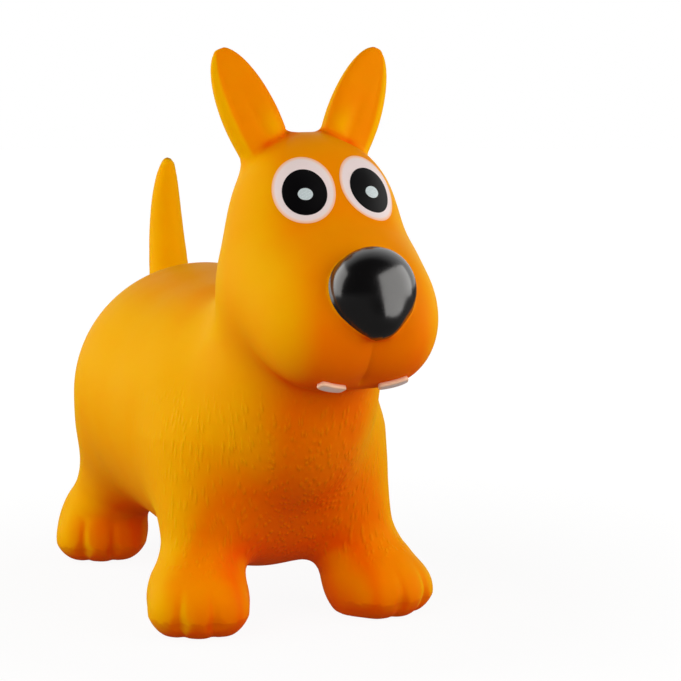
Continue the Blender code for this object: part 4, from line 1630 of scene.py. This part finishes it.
@dataclass
class Skin:
    """The whole moulded skin.

    The rounds say how often a mesh is drawn onto its field or evened out at each stage.
    """

    torso: Torso = field(default_factory=Torso)
    rough_grain: float = 7 * MM
    fine_grain: float = 5.4 * MM
    sphere_steps: int = 5
    seam_width: float = 0.05 * MM
    ear_end: float = 0.86
    far_rounds: int = 4
    near_rounds: int = 2
    press_rounds: int = 3
    rough_evening_rounds: int = 3
    evening_rounds: int = 2
    halving_levels: int = 2
    ear_margin: float = 6 * MM
    least_fur: float = 0.35
    face_depth: float = 30 * MM
    paw_rise: float = 62 * MM
    least_paw_backing: float = 0.3

    def __post_init__(self) -> None:
        """Places the other sub-assemblies from the torso, and makes the field."""
        self.head = Head(self.torso)
        self.nose = NoseBulb(self.head)
        self.ears = Ears(self.head)
        self.legs = Legs(self.torso)
        self.tail = Tail(self.torso)
        self.valve = ValvePad()
        self.fur = Fur()
        melts = []
        for part in (self.torso, self.head, self.nose, self.legs, self.ears, self.tail):
            melts += part.melts()
        presses = self.head.presses() + self.ears.presses() + self.legs.presses()
        self.plain = Field(melts, [])
        self.field = Field(melts, presses)

    def rough_mesh(self) -> bpy.types.Mesh:
        """All the forms, each on its own, in one mesh."""
        shape = bmesh.new()
        bmesh.ops.create_icosphere(shape, subdivisions=self.sphere_steps, radius=1)
        sphere = bpy.data.meshes.new("sphere")
        shape.to_mesh(sphere)
        shape.free()
        unit = points_of(sphere)
        faces = np.array([tuple(face.vertices) for face in sphere.polygons])
        points, polygons = [], []
        for melt in self.field.melts:
            placed = melt.form.place_on(unit)
            sides = (placed, placed * FLIP) if melt.form.middle[0] > 0 else (placed,)
            for index, side in enumerate(sides):
                polygons.append((faces if index == 0 else faces[:, ::-1]) + len(unit) * len(points))
                points.append(side)
        return mesh_from("forms", np.concatenate(points), np.concatenate(polygons).tolist())

    def remeshed(self, mesh: bpy.types.Mesh, size: float) -> bpy.types.Mesh:
        """A mesh joined into one even skin of small squares."""
        return modified(mesh, "joined", "REMESH", mode="VOXEL", voxel_size=size)

    def evened(self, mesh: bpy.types.Mesh, rounds: int) -> np.ndarray:
        """A mesh's vertices, evened out, each towards the middle of its neighbours."""
        edges = np.empty(len(mesh.edges) * 2, int)
        mesh.edges.foreach_get("vertices", edges)
        first, second = edges.reshape(-1, 2).T
        count = np.bincount(edges, minlength=len(mesh.vertices))[:, None]
        points = points_of(mesh)
        for _ in range(rounds):
            total = np.zeros_like(points)
            np.add.at(total, first, points[second])
            np.add.at(total, second, points[first])
            points = (points + total / np.maximum(count, 1)) / 2
        return points

    def half_of(self, mesh: bpy.types.Mesh) -> bpy.types.Mesh:
        """The left half of a mesh, open at the middle plane."""
        shape = bmesh.new()
        shape.from_mesh(mesh)
        geometry = [*shape.verts, *shape.edges, *shape.faces]
        bmesh.ops.bisect_plane(
            shape, geom=geometry, plane_co=(0, 0, 0), plane_no=(1, 0, 0), clear_inner=True
        )
        shape.to_mesh(mesh)
        shape.free()
        return mesh

    def move(self, mesh: bpy.types.Mesh, points: np.ndarray) -> None:
        """Moves a half mesh's vertices, with its open edge kept on the middle plane."""
        seam = np.abs(points_of(mesh)[:, 0]) < self.seam_width
        points[seam, 0] = 0
        set_points(mesh, points)

    def whole_of(self, mesh: bpy.types.Mesh) -> bpy.types.Mesh:
        """A half mesh with its mirror image, joined at the middle plane."""
        self.move(mesh, points_of(mesh))
        return modified(mesh, "skin", "MIRROR", merge_threshold=MERGE_DISTANCE)

    def halvings(self, points: np.ndarray) -> np.ndarray:
        """How many times the squares at points are halved: most on the ears, none on the flanks."""
        normals = self.plain.normals(points)
        back, rise = points[:, 1], points[:, 2]
        ears = rise > self.head.crown[2] + self.ears.root_above_crown - self.ear_margin
        fur = self.fur.mask(points, normals) > self.least_fur
        face = (back < self.head.jowl[1] + self.face_depth) & (rise > self.head.jowl[2] / 2)
        paws = (rise < self.paw_rise) & (normals[:, 1] < self.least_paw_backing)
        return np.where(ears, self.halving_levels, np.where(fur | face | paws, 1, 0))

    def halved(self, mesh: bpy.types.Mesh, level: int) -> None:
        """Halves the squares of a mesh wherever more than so many halvings are wanted."""
        wanted = self.halvings(points_of(mesh)) > level
        shape = bmesh.new()
        shape.from_mesh(mesh)
        shape.verts.ensure_lookup_table()
        edges = [e for e in shape.edges if wanted[e.verts[0].index] and wanted[e.verts[1].index]]
        bmesh.ops.subdivide_edges(shape, edges=edges, cuts=1, use_grid_fill=True)
        shape.to_mesh(mesh)
        shape.free()

    def mesh(self) -> bpy.types.Mesh:
        """Makes the whole skin: joined, drawn onto the field, evened out and pressed."""
        rough = self.remeshed(self.rough_mesh(), self.rough_grain)
        set_points(rough, self.plain.draw(points_of(rough), self.far_rounds))
        set_points(rough, self.evened(rough, self.rough_evening_rounds))
        set_points(rough, self.plain.draw(points_of(rough), self.near_rounds))
        fine = self.half_of(self.remeshed(rough, self.fine_grain))
        self.move(fine, self.plain.draw(points_of(fine), self.near_rounds))
        for level in range(self.halving_levels + 1):
            self.move(fine, self.evened(fine, self.evening_rounds))
            self.move(fine, self.plain.draw(points_of(fine), self.near_rounds))
            if level < self.halving_levels:
                self.halved(fine, level)
        points = points_of(fine)
        ear = (points[:, 1] < 0) & (points[:, 2] > self.head.crown[2])
        points[ear] = self.ears.leaf().stretched(points[ear], self.ear_end)
        set_points(fine, points)
        self.move(fine, self.plain.draw(points_of(fine), self.far_rounds))
        self.move(fine, self.field.draw(points_of(fine), self.press_rounds))
        return self.whole_of(fine)

    def painted_shade_depth(self, points: np.ndarray, normals: np.ndarray) -> np.ndarray:
        """The vinyl's painted shade, from 0 to 1, with the ears' shade mixed in."""
        body = PaintedShadeDepth().at(points, normals, self.plain)
        ears, belongs = self.ears.painted_shade_depth(points, normals)
        return np.clip(body * (1 - belongs) + ears * belongs, 0, 1)

    def build(self, finish: bpy.types.Material) -> bpy.types.Object:
        """Builds the skin and reports it.

        Args:
            finish: the vinyl.

        Returns:
            The skin.
        """
        mesh = self.valve.cut_in(self.mesh())
        points = points_of(mesh)
        normals = self.field.normals(points)
        turned_part = self.valve.near(points)
        normals[turned_part] = (0, 0, -1)
        # The vinyl reads its painted shade from this attribute.
        set_values(mesh, "deep", self.painted_shade_depth(points, normals))
        set_values(mesh, "fur", self.fur.mask(points, normals))
        points, normals = self.fur.raise_on(points, normals)
        set_points(mesh, points)
        mesh.shade_smooth()
        mesh.set_sharp_from_angle(angle=self.valve.sharp_angle)
        # A custom normal of zero leaves the turned pad and its bore to Blender's own shading.
        normals[turned_part] = 0
        mesh.normals_split_custom_set_from_vertices(normals.tolist())
        skin = new_object("moulded_skin", mesh, finish)
        report(skin, Body.TOY, Slot.VINYL, "skin")
        return skin


class Mark(ABC):
    """A mark on the skin, such as a coat of paint, with rings from its middle outwards.

    The rings lie closer together near the outline, where the edge colour fades in.
    """

    AROUND = 96
    INNER_SHARES = (*(step / 14 for step in range(1, 13)), 0.9, 0.94, 0.97, 1.0)
    EDGE_FADE = (0.90, 0.98)

    def __init__(self, surface: Field) -> None:
        """Keeps the field that the mark lies on."""
        self.surface = surface

    @property
    def angles(self) -> np.ndarray:
        """The angles of a ring's points."""
        return np.arange(self.AROUND) * 2 * math.pi / self.AROUND

    @abstractmethod
    def rays(self, inset: float, share: float) -> tuple[np.ndarray, np.ndarray]:
        """A ring of rays onto the skin, for one ring of the mark.

        Args:
            inset: how far in from the outline the ring lies.
            share: the share of that outline that the ring is drawn in to.

        Returns:
            The rays' starts and their directions.
        """

    def plate(
        self, name: str, lift: float, sunk: float, rounding: float, steps: int = 3
    ) -> bpy.types.Mesh:
        """A closed plate that follows the skin.

        Args:
            name: the mesh's name.
            lift: how far its top stands above the skin.
            sunk: how far its underside lies below it.
            rounding: the radius of its upper edge.
            steps: the number of steps in that rounding.

        Returns:
            The plate's mesh.
        """
        rings = [(rounding, share, lift) for share in self.INNER_SHARES]
        for step in range(1, steps + 1):
            angle = (1 - step / steps) * math.pi / 2
            inset, drop = rounding * (1 - math.cos(angle)), rounding * (1 - math.sin(angle))
            rings.append((inset, 1.0, lift - drop))
        rings += [(0.0, share, -sunk) for share in reversed(self.INNER_SHARES)]
        starts, directions, heights = [], [], []
        for inset, share, height in rings:
            start, direction = self.rays(inset, share)
            starts.append(start)
            directions.append(direction)
            heights += [height] * self.AROUND
        for inset, height in ((rounding, lift), (0.0, -sunk)):
            start, direction = self.rays(inset, 0.0)
            starts.append(start[:1])
            directions.append(direction[:1])
            heights.append(height)
        points = self.surface.cast(np.concatenate(starts), np.concatenate(directions))
        normals = self.surface.normals(points)
        placed = points + normals * np.array(heights)[:, None]
        mesh = mesh_from(name, placed, self.faces(len(rings)))
        shares = [share for _, share, _ in rings for _ in range(self.AROUND)] + [0.0, 0.0]
        set_values(mesh, "edge", smoothstep(*self.EDGE_FADE, np.array(shares)))
        return mesh

    def faces(self, rings: int) -> list[tuple[int, ...]]:
        """The faces of a closed plate: squares between rings, and a fan at each middle."""
        around = self.AROUND
        found = []
        for i in range(around):
            j = (i + 1) % around
            for ring in range(rings - 1):
                low, high = ring * around, (ring + 1) * around
                found.append((low + i, low + j, high + j, high + i))
            found.append((rings * around, j, i))
            last = (rings - 1) * around
            found.append((rings * around + 1, last + i, last + j))
        return found


class Outline(Enum):
    """The shape of a flat mark's outline, as the power of its rounded corners."""

    OVAL = 2.0
    BLOCK = 5.0


class CastMark(Mark):
    """A mark whose outline is cast onto the skin from the front, along one direction."""

    REACH = 60 * MM

    def __init__(
        self,
        surface: Field,
        place: Vector,
        turn: Matrix,
        size: Pair,
        outline: Outline = Outline.OVAL,
    ) -> None:
        """Places the mark.

        Args:
            surface: the field that it lies on.
            place: its middle, about on the skin.
            turn: what turns the direction -Y to the way it faces.
            size: its width and height.
            outline: the shape of its outline.
        """
        super().__init__(surface)
        self.place = place
        self.turn = turn
        self.size = size
        self.outline = outline

    def rays(self, inset: float, share: float) -> tuple[np.ndarray, np.ndarray]:
        """A ring of rays onto the skin, all along the one direction."""
        power = 2 / self.outline.value
        cosine, sine = np.cos(self.angles), np.sin(self.angles)
        across = np.sign(cosine) * np.abs(cosine) ** power * (self.size[0] / 2 - inset) * share
        upward = np.sign(sine) * np.abs(sine) ** power * (self.size[1] / 2 - inset) * share
        flat = np.stack((across, np.full_like(across, -self.REACH), upward), 1)
        starts = turned(flat, self.turn) + np.array(self.place)
        direction = np.array(self.turn @ Vector((0, 1, 0)))
        return starts, np.broadcast_to(direction, starts.shape)


class NoseMark(Mark):
    """The outline of the nose: where the skin leaves the nose's ball, grown by a margin."""

    REACH = 90 * MM
    MARGIN = 2.0 * MM
    STRAIGHT_DOWN = 1.5 * math.pi
    POINT_SHAVE = 0.09
    POINT_ANGLE = math.radians(14)
    WIDEST = math.radians(130)
    POLAR_STEPS = 79

    def __init__(self, surface: Field, bulb: NoseBulb) -> None:
        """Finds, round the nose, how far from straight ahead its outline lies.

        Args:
            surface: the field of the skin.
            bulb: the nose's balls, which the outline follows.
        """
        super().__init__(surface)
        self.bulb = bulb
        grown = Field(bulb.melts(self.MARGIN), [])
        steps = np.linspace(0, self.WIDEST, self.POLAR_STEPS)
        starts, directions = zip(*(self.rays_at(np.full(self.AROUND, step)) for step in steps))
        on_skin = surface.cast(np.concatenate(starts), np.concatenate(directions))
        gaps = grown.distance(on_skin).reshape(self.POLAR_STEPS, self.AROUND)
        # A ray that is still on the grown ball at the widest angle counts as leaving it there.
        gaps[-1] = np.maximum(gaps[-1], TINY)
        outside = np.maximum((gaps > 0).argmax(axis=0), 1)
        around = np.arange(self.AROUND)
        before, after = gaps[outside - 1, around], gaps[outside, around]
        found = steps[outside - 1] + before / (before - after) * steps[1]
        # The mask comes to a point below, narrower than the ball that it lies on.
        aside = np.abs(self.angles - self.STRAIGHT_DOWN) / self.POINT_ANGLE
        self.polar = found * (1 - self.POINT_SHAVE * aside * np.exp(1 - aside))

    def rays_at(self, polar: np.ndarray) -> tuple[np.ndarray, np.ndarray]:
        """Rays in to the nose's middle, at angles from straight ahead for each angle round."""
        across = np.sin(polar) * np.cos(self.angles)
        upward = np.sin(polar) * np.sin(self.angles)
        directions = np.stack((across, -np.cos(polar), upward), 1)
        return self.bulb.middle + directions * self.REACH, -directions

    def rays(self, inset: float, share: float) -> tuple[np.ndarray, np.ndarray]:
        """A ring of rays onto the skin, all in to the nose's middle."""
        return self.rays_at((self.polar - inset / (self.bulb.size[0] / 2)) * share)


def build_pair(
    made: str, node: str, mesh: bpy.types.Mesh, finish: bpy.types.Material, slot: Slot
) -> None:
    """Builds a piece of the left side and its twin on the right, and reports both.

    Args:
        made: how they are made, which their names begin with.
        node: what the nodes' names begin with.
        mesh: the left one's mesh.
        finish: their material.
        slot: their record slot, which is not used.
    """
    for side in Side:
        copy = mesh.copy()
        if side is Side.RIGHT:
            copy.transform(Matrix.Diagonal((-1, 1, 1, 1)))
            copy.flip_normals()
        label = f"{node}_{side.value}"
        report(new_object(f"{made}_{label}", copy, finish), Body.TOY, slot, label)


@dataclass(frozen=True)
class Eyes:
    """The two eyes, each of three ovals of paint: white, pupil and glint."""

    skin: Skin
    apart: float = 0.0668
    rise_above_brow: float = 0.0175
    turn_out: float = math.radians(13)
    look_up: float = math.radians(20)
    white_size: Pair = (0.059, 0.0695)
    white_above: float = 0.003
    pupil_size: Pair = (0.042, 0.047)
    glint_size: Pair = (0.014, 0.012)
    glint_below: float = 0.0025
    film: float = 0.28 * MM
    sunk: float = 0.2 * MM

    def mark(self, size: Pair, shift_up: float) -> CastMark:
        """An oval of the left eye."""
        head = self.skin.head
        rise = head.face[2] + head.brow_above + self.rise_above_brow
        start = (self.apart / 2, head.face[1] - head.muzzle_size[1], rise)
        place = self.skin.plain.hit(start, (0, 1, 0))
        turn = Matrix.Rotation(self.turn_out, 3, "Z") @ Matrix.Rotation(-self.look_up, 3, "X")
        return CastMark(self.skin.field, place + turn @ Vector((0, 0, shift_up)), turn, size)

    def build(self, finishes: Finishes) -> None:
        """Builds the six ovals and reports them."""
        layers = (
            ("eye_white", self.mark(self.white_size, self.white_above), finishes.white, Slot.WHITE),
            ("pupil", self.mark(self.pupil_size, 0.0), finishes.satin_black, Slot.BLACK),
            ("glint", self.mark(self.glint_size, -self.glint_below), finishes.grey, Slot.GREY),
        )
        for layer, (name, mark, finish, slot) in enumerate(layers, start=1):
            mesh = mark.plate(name, layer * self.film, self.sunk, self.film / 2)
            build_pair("painted", name, mesh, finish, slot)


@dataclass(frozen=True)
class Teeth:
    """The two teeth, raised blocks on the lower edge of the jowls."""

    skin: Skin
    size: Pair = (0.028, 0.0115)
    raised: float = 4.0 * MM
    sunk: float = 0.5 * MM
    rounding: float = 1.5 * MM
    rounding_steps: int = 5
    apart: float = 0.0615
    ahead_of_jowl: float = 0.026
    look_down: float = math.radians(48)
    roll: float = math.radians(20)

    def build(self, finishes: Finishes) -> None:
        """Builds the two teeth and reports them."""
        jowl, below = self.skin.head.jowl, self.skin.head.jowl_size[2]
        start = (self.apart / 2, jowl[1] - self.ahead_of_jowl, jowl[2] - below)
        place = self.skin.plain.hit(start, (0, 0, 1))
        turn = Matrix.Rotation(self.look_down, 3, "X") @ Matrix.Rotation(-self.roll, 3, "Y")
        mark = CastMark(self.skin.field, place, turn, self.size, Outline.BLOCK)
        mesh = mark.plate("tooth", self.raised, self.sunk, self.rounding, self.rounding_steps)
        build_pair("raised", "tooth", mesh, finishes.tooth, Slot.WHITE)


@dataclass(frozen=True)
class NosePaint:
    """The gloss black nose, a thick sprayed coat."""

    skin: Skin
    film: float = 0.5 * MM
    sunk: float = 0.3 * MM
    rounding: float = 0.4 * MM

    def build(self, finishes: Finishes) -> None:
        """Builds the coat and reports it."""
        mark = NoseMark(self.skin.field, self.skin.nose)
        mesh = mark.plate("nose", self.film, self.sunk, self.rounding)
        nose = new_object("painted_nose", mesh, finishes.black)
        report(nose, Body.TOY, Slot.BLACK, "nose_coat")


@dataclass(frozen=True)
class AirPlug:
    """The turned air plug: a flange with a finger dimple, and a stem with a tapered tip."""

    valve: ValvePad
    tip_length: float = 3.0 * MM
    tip_taper: float = 1.2 * MM
    dimple_radius: float = 5.0 * MM
    dimple_depth: float = 1.0 * MM
    edge: float = 0.5 * MM
    edge_segments: int = 3
    edge_angle: float = math.radians(25)

    def profile(self, radius: float, height: float) -> tuple[Pair, ...]:
        """The plug's outline, from the middle of its tip to the middle of its dimple."""
        stem = self.valve.hole_radius - self.valve.clearance
        flange = self.valve.flange_thickness
        return (
            (0, height),
            (stem - self.tip_taper, height),
            (stem, height - self.tip_length),
            (stem, flange),
            (radius, flange),
            (radius, 0),
            (self.dimple_radius, 0),
            (self.dimple_radius - self.dimple_depth, self.dimple_depth),
            (0, self.dimple_depth),
        )

    def build(self, finishes: Finishes) -> None:
        """Builds the plug in the place of its node and reports it."""
        low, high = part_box("valve_plug")
        profile = self.profile((high.x - low.x) / 2, high.z - low.z)
        mesh = modified(
            lathe("plug", profile, self.valve.steps),
            "plug",
            "BEVEL",
            width=self.edge,
            segments=self.edge_segments,
            limit_method="ANGLE",
            angle_limit=self.edge_angle,
        )
        mesh.shade_smooth()
        mesh.set_sharp_from_angle(angle=self.valve.sharp_angle)
        plug = new_object("turned_plug", mesh, finishes.plug)
        plug.location = self.valve.place
        report(plug, Body.PLUG, Slot.PLUG, "valve_plug")


def shown_rays(tree: bpy.types.NodeTree, in_gloss: float) -> bpy.types.NodeSocket:
    """A socket that is 1 for camera and transmission rays, and this much for glossy ones."""
    rays = add_node(tree, "ShaderNodeLightPath")
    mirrored = add_node(
        tree,
        "ShaderNodeMath",
        {1: in_gloss},
        {0: rays.outputs["Is Glossy Ray"], 2: rays.outputs["Is Camera Ray"]},
        operation="MULTIPLY_ADD",
    )
    return add_node(
        tree,
        "ShaderNodeMath",
        links={0: mirrored.outputs[0], 1: rays.outputs["Is Transmission Ray"]},
        operation="MAXIMUM",
    ).outputs[0]


@dataclass(frozen=True)
class Softbox:
    """A rectangular lamp, placed from the point that it faces as the camera sees it.

    Its radiance is how bright its face is, where a white card in full light is 1.
    """

    name: str
    right: float
    backward: float
    above: float
    size: Pair
    radiance: float
    shows_in_gloss: bool = True
    tint: str = "#FFFDFA"


@dataclass(frozen=True)
class Studio:
    """The plain pale floor, the soft lamps and the camera at the photograph's angle.

    There is a wide softbox on each side of the animal and a fill, so that its front is dimmest.
    """

    frame_pixels: float = 681
    focal_pixels: float = 2250
    azimuth: float = math.radians(-21)
    distance: float = 2.336
    camera_rise: float = 0.5885
    camera_shift: float = 0.056
    middle_pixel: float = 238
    look_down: float = math.radians(7.86)
    sensor: float = 36
    far_clip: float = 40
    aim: Triple = (0, 0, 0.27)
    softboxes: tuple[Softbox, ...] = (
        Softbox("right_softbox", 1.56, 0.57, 0.30, (2.8, 1.9), 2.20),
        Softbox("left_softbox", -1.64, -0.20, 0.50, (2.0, 1.9), 1.78),
        Softbox("front_fill", -1.25, 1.65, 0.80, (1.6, 1.6), 2.50, shows_in_gloss=False),
    )
    fill: str = "#FFF4EA"
    fill_strength: float = 0.18
    backdrop_facing: Pair = (-0.1, 0.6)
    backdrop_white: Pair = (0.03, 1.0)
    floor_radius: float = 9
    floor_steps: int = 128
    paper: str = "#464646"
    paper_away: Pair = (0.3, 1.0)
    paper_white: Pair = (0.93, 1.0)
    paper_bounce: float = 0.26
    paper_in_gloss: float = 0.06

    @property
    def backward(self) -> Vector:
        """The level direction from the animal to the camera."""
        return Vector((math.sin(self.azimuth), -math.cos(self.azimuth), 0))

    @property
    def right(self) -> Vector:
        """The level direction to the camera's right."""
        return Vector((math.cos(self.azimuth), math.sin(self.azimuth), 0))

    def add_camera(self) -> None:
        """Adds the camera. The animal stands left of the middle of the frame."""
        yaw = math.atan((self.frame_pixels / 2 - self.middle_pixel) / self.focal_pixels)
        level = -self.backward * math.cos(yaw) + self.right * math.sin(yaw)
        right = self.right * math.cos(yaw) + self.backward * math.sin(yaw)
        upright = Vector((0, 0, 1))
        forward = level * math.cos(self.look_down) - upright * math.sin(self.look_down)
        up = upright * math.cos(self.look_down) + level * math.sin(self.look_down)
        place = self.backward * self.distance + upright * self.camera_rise
        place.y += self.camera_shift
        data = bpy.data.cameras.new("camera")
        data.sensor_width = self.sensor
        data.lens = self.sensor * self.focal_pixels / self.frame_pixels
        data.clip_end = self.far_clip
        camera = in_scene("camera", data)
        turn = Matrix((right, up, -forward)).transposed()
        camera.matrix_world = Matrix.Translation(place) @ turn.to_4x4()
        bpy.context.scene.camera = camera

    def add_lamp(self, box: Softbox) -> None:
        """Adds a softbox that faces the animal."""
        aim = Vector(self.aim)
        place = aim + self.right * box.right + self.backward * box.backward
        place += Vector((0, 0, 1)) * box.above
        data = bpy.data.lights.new(box.name, "AREA")
        data.shape = "RECTANGLE"
        data.size, data.size_y = box.size
        data.energy = box.radiance * math.pi * box.size[0] * box.size[1]
        data.color = linear(box.tint)[:3]
        lamp = in_scene(box.name, data)
        lamp.location = place
        lamp.rotation_euler = (aim - place).to_track_quat("-Z", "Y").to_euler()
        lamp.visible_camera = False
        lamp.visible_glossy = box.shows_in_gloss

    def add_world(self) -> None:
        """Adds a dim fill all round, and the white backdrop, which gloss shows where it hangs."""
        world = bpy.data.worlds.new("studio")
        bpy.context.scene.world = world
        world.use_nodes = True
        tree = world.node_tree
        tree.nodes.clear()
        place = add_node(tree, "ShaderNodeTexCoord")
        facing = add_node(
            tree,
            "ShaderNodeVectorMath",
            {1: tuple(-self.backward)},
            {0: place.outputs["Generated"]},
            operation="DOT_PRODUCT",
        )
        backdrop = add_node(
            tree,
            "ShaderNodeMapRange",
            spans(self.backdrop_facing, self.backdrop_white),
            {"Value": facing.outputs["Value"]},
        )
        rays = add_node(tree, "ShaderNodeLightPath")
        sky = add_node(
            tree,
            "ShaderNodeMath",
            links={0: rays.outputs["Is Camera Ray"], 1: backdrop.outputs[0]},
            operation="MAXIMUM",
        )
        seen = add_node(tree, "ShaderNodeBackground", {"Color": (1, 1, 1, 1)}, {1: sky.outputs[0]})
        fill_light = {"Color": linear(self.fill), "Strength": self.fill_strength}
        fill = add_node(tree, "ShaderNodeBackground", fill_light)
        mix = add_node(
            tree,
            "ShaderNodeMixShader",
            links={0: shown_rays(tree, 1.0), 1: fill.outputs[0], 2: seen.outputs[0]},
        )
        add_node(tree, "ShaderNodeOutputWorld", links={0: mix.outputs[0]})

    def add_floor(self) -> None:
        """Adds the pale floor, which keeps a faint shadow and melts into the white behind it."""
        shape = bmesh.new()
        bmesh.ops.create_circle(
            shape, cap_ends=True, segments=self.floor_steps, radius=self.floor_radius
        )
        mesh = bpy.data.meshes.new("floor")
        shape.to_mesh(mesh)
        shape.free()
        material, tree = new_material("pale_paper_sweep")
        places = add_node(tree, "ShaderNodeTexCoord")
        away = add_node(
            tree, "ShaderNodeVectorMath", links={0: places.outputs["Object"]}, operation="LENGTH"
        )
        glow = add_node(
            tree,
            "ShaderNodeMapRange",
            spans(self.paper_away, self.paper_white),
            {"Value": away.outputs["Value"]},
        )
        rays = add_node(tree, "ShaderNodeLightPath")
        dim = add_node(
            tree,
            "ShaderNodeMath",
            {1: self.paper_bounce},
            {0: rays.outputs["Is Diffuse Ray"]},
            operation="MULTIPLY",
        )
        # Gloss shows only a little of the paper's white, so that the nose stays black below.
        bright = add_node(
            tree,
            "ShaderNodeMath",
            links={0: shown_rays(tree, self.paper_in_gloss), 1: glow.outputs[0]},
            operation="MULTIPLY",
        )
        lit = add_node(
            tree,
            "ShaderNodeMath",
            links={0: dim.outputs[0], 1: bright.outputs[0]},
            operation="MAXIMUM",
        )
        paper = add_node(tree, "ShaderNodeBsdfDiffuse", {"Color": linear(self.paper)})
        shine = add_node(
            tree, "ShaderNodeEmission", {"Color": (1, 1, 1, 1)}, {"Strength": lit.outputs[0]}
        )
        shaders = {0: paper.outputs[0], 1: shine.outputs[0]}
        both = add_node(tree, "ShaderNodeAddShader", links=shaders)
        # The paper is clear from underneath, so that the belly can be looked at.
        sides = add_node(tree, "ShaderNodeNewGeometry")
        clear = add_node(tree, "ShaderNodeBsdfTransparent")
        sheet = add_node(
            tree,
            "ShaderNodeMixShader",
            links={0: sides.outputs["Backfacing"], 1: both.outputs[0], 2: clear.outputs[0]},
        )
        tree.links.new(sheet.outputs[0], output_of(tree).inputs[0])
        floor = new_object("floor", mesh, material)

    def build(self) -> None:
        """Builds the whole studio."""
        self.add_camera()
        for box in self.softboxes:
            self.add_lamp(box)
        self.add_world()
        self.add_floor()
        bpy.context.scene.view_settings.view_transform = "Standard"


def main() -> None:
    """Builds the animal and the studio."""
    finishes = Finishes.make()
    skin = Skin()
    skin.build(finishes.vinyl)
    Eyes(skin).build(finishes)
    NosePaint(skin).build(finishes)
    Teeth(skin).build(finishes)
    AirPlug(skin.valve).build(finishes)
    Studio().build()


if __name__ == "__main__":
    main()
